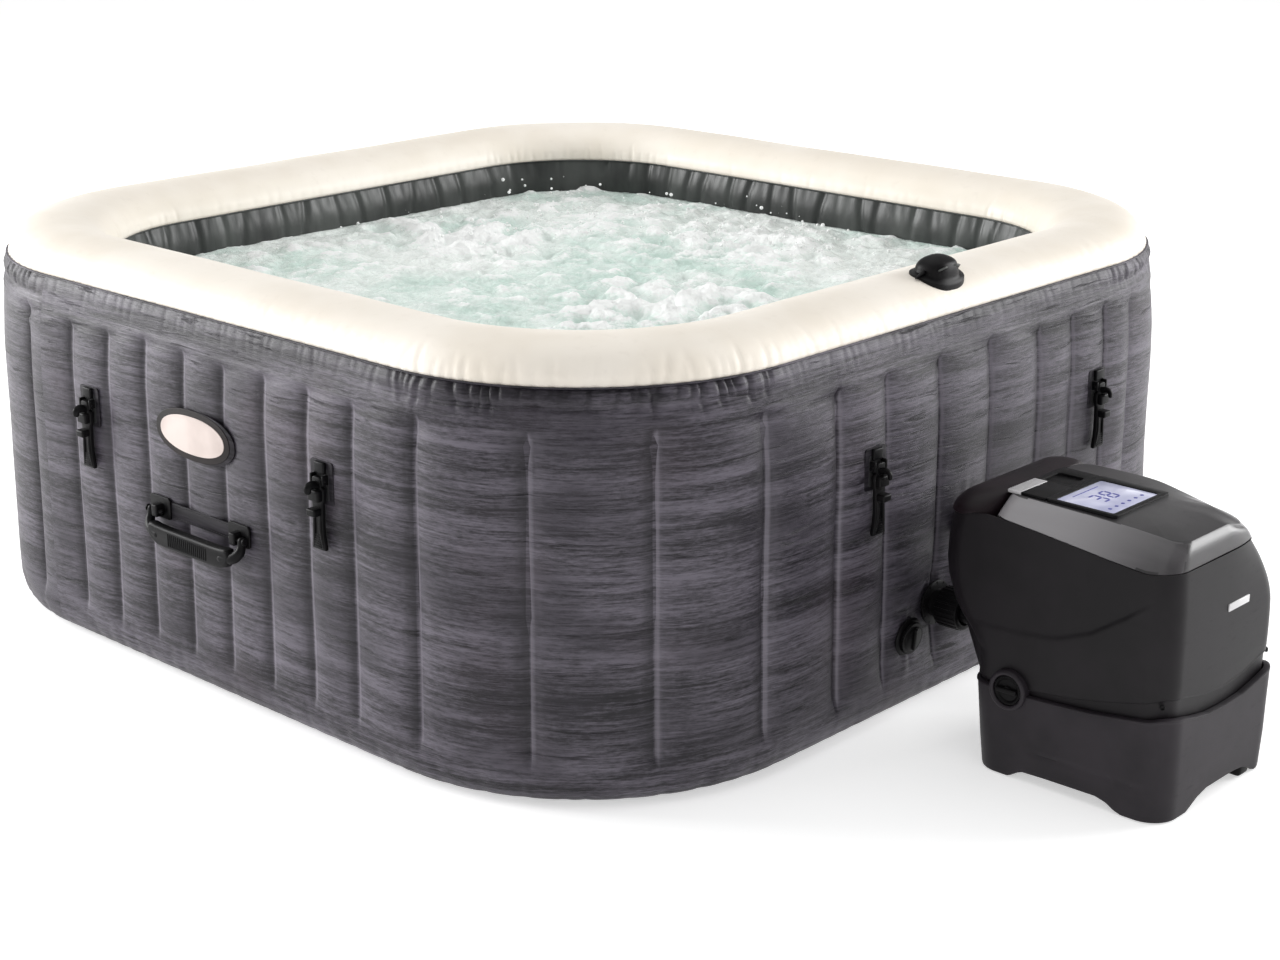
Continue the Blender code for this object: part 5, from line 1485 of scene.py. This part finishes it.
def unit_lid():
    """The cover: a flat top whose long sides slope down in a broad band, with a rounded outer end."""
    def ring(x1, y0, radius, x0=1.0690, level=0.386):
        return shouldered(level_ring(x0, x1, y0, 2 * UNIT_MIDDLE - y0, radius, corner=16), level)
    outer = ring(1.3893, -0.2262, 0.0430)
    edge = cover_edge(outer)
    rows = [at_height(ring(1.3850, -0.2220, 0.038, 1.0725), edge - 0.004),
            at_height(ring(1.3880, -0.2250, 0.041, 1.0695), edge - 0.0002)]
    rows.append(at_height(outer, edge + 0.0006))
    ridge = ring(1.3780, -0.1870, 0.0300, level=0.392)
    taper = np.interp(ridge[:, 0], (1.069, 1.110, 1.367), (0.0140, 0.0115, 0.0))
    aside = smoothstep(np.abs(ridge[:, 1] - UNIT_MIDDLE), 0.06, 0.10)
    ridge[:, 1] += np.where(ridge[:, 1] < UNIT_MIDDLE, 1, -1) * taper * aside
    crest = np.interp(ridge[:, 0], (1.069, 1.20, 1.300, 1.350, 1.378),
                      (0.4318, 0.4312, 0.4290, 0.4255, 0.4195))
    crest -= 0.013 * smoothstep(ridge[:, 0], 1.20, 1.37) * smoothstep(ridge[:, 1], -0.06, 0.0)
    for t in (0.06, 0.25, 0.5, 0.75, 0.92, 0.985):
        flat = outer + (ridge - outer) * t
        hump = 0.0016 * math.sin(math.pi * t)
        level = edge + 0.0006 + (crest - edge - 0.0006) * (t + 0.03 * math.sin(math.pi * t)) + hump
        end = side_shares(flat)[1] * (1 - smoothstep(np.abs(flat[:, 1] - UNIT_MIDDLE), 0.12, 0.150))
        level = level + end * 0.012 * math.sin(math.pi * t) * 0.7
        rows.append(at_height(flat, level))
    rows.append(at_height(ridge, crest))
    middle = np.array([1.215, UNIT_MIDDLE])
    for t in (0.985, 0.96, 0.90, 0.75, 0.5, 0.25):
        flat = middle + (ridge - middle) * t
        rows.append(at_height(flat, crest + (0.4322 - crest) * min(1.0, (1 - t) * 3.2 + 0.06) ** 0.8))
    top = stack(rows, caps=True)
    # The sloping faces take the band finish, whose light grey at the tub's end is a painted reflection.
    sloping = [face.index for face in top.faces if face.normal.y > 0.25
               or (face.normal.y < -0.25 and 0.3865 < face.calc_center_median().z < 0.4308)]
    lid = Assembly().add(top).finished("unit_lid", [LID, BAND], "cover_plastic", "unit_cover", angle=24)
    for index in sloping:
        lid.data.polygons[index].material_index = 1


def unit_hood():
    """The rounded dark hood over the pipes, between the cover and the tub."""
    stations = [(0.9890, -0.2255, 0.3995, 0.042), (0.9902, -0.2238, 0.4055, 0.043),
                (0.9930, -0.2185, 0.4125, 0.044), (0.9985, -0.2080, 0.4205, 0.042),
                (1.0070, -0.1930, 0.4270, 0.038), (1.0190, -0.1740, 0.4310, 0.032),
                (1.0330, -0.1500, 0.4325, 0.022)]
    base = level_ring(0.9925, 1.0680, -0.2225, 2 * UNIT_MIDDLE + 0.2225, 0.036, (26, 60), 12)
    rows = [at_height(base, 0.3960)]
    for x0, y0, height, radius in spline(stations, 26):
        corner = min(radius, (1.0680 - x0) / 2 - 0.001)
        flat = level_ring(x0, 1.0680, y0, 2 * UNIT_MIDDLE - y0, corner, (26, 60), 12)
        rows.append(at_height(flat, height + (0.0004 if height < 0.4 else 0)))
    made = Assembly().add(stack(rows, caps=True))
    made.finished("unit_hood_piece", HOOD, "unit_plastic", "unit_hood", angle=40)


def ring_plate(outer, inner, low, high):
    """A flat frame between two outlines of equal length, standing from low to high."""
    bevel = 0.0008
    out = np.sign(outer - outer.mean(0)) * bevel
    back = np.sign(inner - inner.mean(0)) * bevel
    return stack([at_height(outer, low), at_height(outer, high - bevel),
                  at_height(outer - out * 0.3, high - bevel * 0.3), at_height(outer - out, high),
                  at_height(inner + back, high), at_height(inner + back * 0.3, high - bevel * 0.3),
                  at_height(inner, high - bevel), at_height(inner, low)])


def control_panel():
    """Dark glossy bezel, the lit display in it, the silver strip beside it and the finger notch."""
    low, high = 0.4312, 0.4362

    def outline(x0, x1, y0, y1, radius):
        return level_ring(x0, x1, y0, y1, radius, (10, 10), 8)
    made = Assembly()
    made.add(ring_plate(outline(1.1360, 1.2580, -0.1715, -0.0185, 0.006),
                        outline(1.1490, 1.2490, -0.1630, -0.0370, 0.004), low, high))
    made.add(ring_plate(outline(1.0700, 1.1362, -0.0985, -0.0200, 0.003),
                        outline(1.0810, 1.1270, -0.0930, -0.0480, 0.006), low, high))
    made.add(box((1.0805, -0.0940, 0.4300), (1.1280, -0.0470, 0.4326), 0.0006, 2))
    made.add(box((1.0925, -0.1712, 0.4310), (1.1362, -0.0980, high), 0.0010, 3))
    made.finished("display_frame", BLACK, "black_plastic", "display_bezel")
    made = Assembly()
    made.add(box((1.0690, -0.1722, 0.4310), (1.0930, -0.0982, 0.4366), 0.0016, 3))
    rib = box((-0.0004, -0.0110, -0.0003), (0.0004, 0.0110, 0.0006), 0.0002, 1)
    line = [(1.0810, y, 0.4366) for y in np.linspace(-0.1660, -0.1050, 5)]
    made.add(copies(line, (0, 0, 1), (0, 1, 0), rib, 12))
    made.finished("silver_strip", TRIM, "cover_plastic")
    made = Assembly()
    made.add(box((1.1487, -0.1633, 0.4312), (1.2493, -0.0367, 0.4348), 0.0007, 3))
    made.finished("display_pane", SCREEN, "display_glass", "display_glass")
    marks = Assembly()
    digit = {"3": "abgcd", "8": "abcdefg"}
    bars = {"a": (0, 1, 0), "g": (0, 0, 0), "d": (0, -1, 0), "f": (-0.5, 0.5, 1), "b": (0.5, 0.5, 1),
            "e": (-0.5, -0.5, 1), "c": (0.5, -0.5, 1)}
    for order, figure in enumerate("38"):
        for segment in digit[figure]:
            across, up, upright = bars[segment]
            # Figures read from the outer end, so their own up is towards the tub.
            y = -0.1140 + order * 0.0270 + across * 0.0150
            x = 1.1940 - up * 0.0145
            size = (0.0056, 0.0020) if upright else (0.0020, 0.0060)
            marks.add(box((x - size[0], y - size[1], 0.4346), (x + size[0], y + size[1], 0.4351), 0.0002, 1))
    dot = lathe([(0.0, 0.0), (0.0030, 0.0), (0.0030, 0.0006), (0.0, 0.0006)], sides=24)
    line = [(1.2320, y, 0.4345) for y in np.linspace(-0.1450, -0.0560, 4)]
    marks.add(copies(line, (0, 0, 1), (1, 0, 0), dot, 6))
    marks.add(box((1.1600, -0.1350, 0.4346), (1.1622, -0.0660, 0.4351), 0.0002, 1))
    marks.finished("display_figures", SCREEN_MARK, "display_glass")


def unit_trim():
    """The service port with its cap, and the blank mark on the outer end."""
    x, height = 1.131, 0.144
    origin, along = (x, -0.2380, height), (0, -1, 0)
    made = Assembly()
    made.add(lathe([(0.0246, -0.0290), (0.0246, 0.0026), (0.0256, 0.0040), (0.0276, 0.0048), (0.0300, 0.0044),
                    (0.0318, 0.0028), (0.0325, 0.0004), (0.0325, -0.0290)], origin, along))
    made.finished("service_ring", TRAY, "unit_plastic", "service_port")
    made = Assembly()
    made.add(lathe([(0.0, -0.0200), (0.0232, -0.0200), (0.0236, 0.0000), (0.0230, 0.0014), (0.0206, 0.0020),
                    (0.0190, 0.0012), (0.0172, -0.0010), (0.0068, -0.0010), (0.0060, 0.0022), (0.0, 0.0026)],
                   origin, along))
    made.add(box((x - 0.0180, -0.2444, height - 0.0036), (x + 0.0180, -0.2372, height + 0.0036), 0.0018, 3))
    ring, out = circle(0.0214, 48, (x, -0.2398, height), along)
    stud = box((-0.0014, -0.0005, -0.0002), (0.0014, 0.0005, 0.0006), 0.0002, 1)
    made.add(copies(ring, along, out, stud, 30, cyclic=True))
    made.finished("service_cap_piece", BLACK, "black_plastic", "service_cap", "service_cap")
    made = Assembly()
    made.add(box((1.3960, -0.0712, 0.2942), (1.3990, -0.0108, 0.3062), 0.0010, 3))
    made.finished("end_mark", TRIM, "cover_plastic", "unit_plate")


# ---------------------------------------------------------------- parts kept from the frame

def coat_kept_parts():
    """Finishes for the hidden solids that are shown as they came."""
    for material, names in (
            (FIBRE, ("wall_web",)), (PAPER, ("filter_cartridge",)), (METAL, ("pump_motor", "heater")),
            (WHITE, ("filter_housing", "filter_cap", "return_nozzle", "bubble_ring", "impeller",
                     "blower_fan")),
            (BLACK, ("pump_volute", "pump_hose", "blower_housing", "cable_gland"))):
        for name in names:
            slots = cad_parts[name].data.materials
            slots.clear()
            slots.append(material)


# ---------------------------------------------------------------- stage

def camera():
    data = bpy.data.cameras.new("camera")
    data.lens = 64.3
    data.sensor_width = 36.0
    obj = bpy.data.objects.new("camera", data)
    obj.location = (2.904, -2.963, 1.519)
    yaw, pitch = math.radians(132.93), math.radians(-17.98)
    gaze = Vector((math.cos(yaw) * math.cos(pitch), math.sin(yaw) * math.cos(pitch), math.sin(pitch)))
    obj.rotation_euler = gaze.to_track_quat("-Z", "Y").to_euler()
    bpy.context.scene.collection.objects.link(obj)
    bpy.context.scene.camera = obj


def softbox(name, place, aim, size, factor):
    """A square light. factor is what a white card facing it at the aim shows, where 1 is full white."""
    data = bpy.data.lights.new(name, "AREA")
    data.size = size
    distance = (Vector(place) - Vector(aim)).length
    data.energy = factor * math.pi ** 2 * distance ** 2
    obj = bpy.data.objects.new(name, data)
    obj.location = place
    obj.rotation_euler = (Vector(aim) - Vector(place)).to_track_quat("-Z", "Y").to_euler()
    bpy.context.scene.collection.objects.link(obj)


def stage():
    floor_finish = Finish("pale_floor", roughness=0.9, specular_ior_level=0.1)
    place = floor_finish.place()
    tone = floor_finish.cloud(place, 3.0, 2.0)
    floor_finish.into("Base Color", floor_finish.mixed(tone, (0.86, 0.86, 0.86), (0.88, 0.88, 0.88)))
    floor_finish.shader.inputs["Emission Color"].default_value = (1, 1, 1, 1)
    floor_finish.shader.inputs["Emission Strength"].default_value = 0.50
    mesh = bpy.data.meshes.new("floor")
    far = FLOOR_HALF
    corners = ((-far, -far), (far, -far), (far, far), (-far, far))
    # The floor's far edge turns up in two bands, so that a low view meets no dark horizon.
    rising = ((1, -0.0015), (1.05, 0.8), (1.07, 9))
    points = [(x * grow, y * grow, z) for grow, z in rising for x, y in corners]
    bands = [(k + 4 + a, k + 4 + (a + 1) % 4, k + (a + 1) % 4, k + a) for k in (0, 4) for a in range(4)]
    mesh.from_pydata(points, [], [(0, 1, 2, 3)] + bands)
    mesh.materials.append(floor_finish.material)
    floor = bpy.data.objects.new("floor", mesh)
    bpy.context.scene.collection.objects.link(floor)
    world = bpy.data.worlds.new("studio")
    world.use_nodes = True
    world.node_tree.nodes["Background"].inputs["Color"].default_value = (1.0, 1.0, 1.0, 1.0)
    world.node_tree.nodes["Background"].inputs["Strength"].default_value = 0.50
    bpy.context.scene.world = world
    bpy.context.scene.view_settings.view_transform = "Standard"
    softbox("softbox_left", (-5.5, -3.6, 2.2), (-0.2, -0.8, 0.4), 3.0, 1.15)
    softbox("softbox_right", (4.0, 5.5, 2.4), (0.9, 0.2, 0.4), 3.0, 0.80)
    softbox("softbox_top", (0.0, 0.0, 5.0), (0.0, 0.0, 0.5), 6.0, 0.38)


camera()
outer_wall()
top_rim()
inner_wall()
bath_floor()
ground_sheet()
water()
badge()
handles()
buckles()
rim_cowl()
valve_caps()
port_fittings()
unit_tray()
unit_body()
unit_lid()
unit_hood()
control_panel()
unit_trim()
coat_kept_parts()
stage()
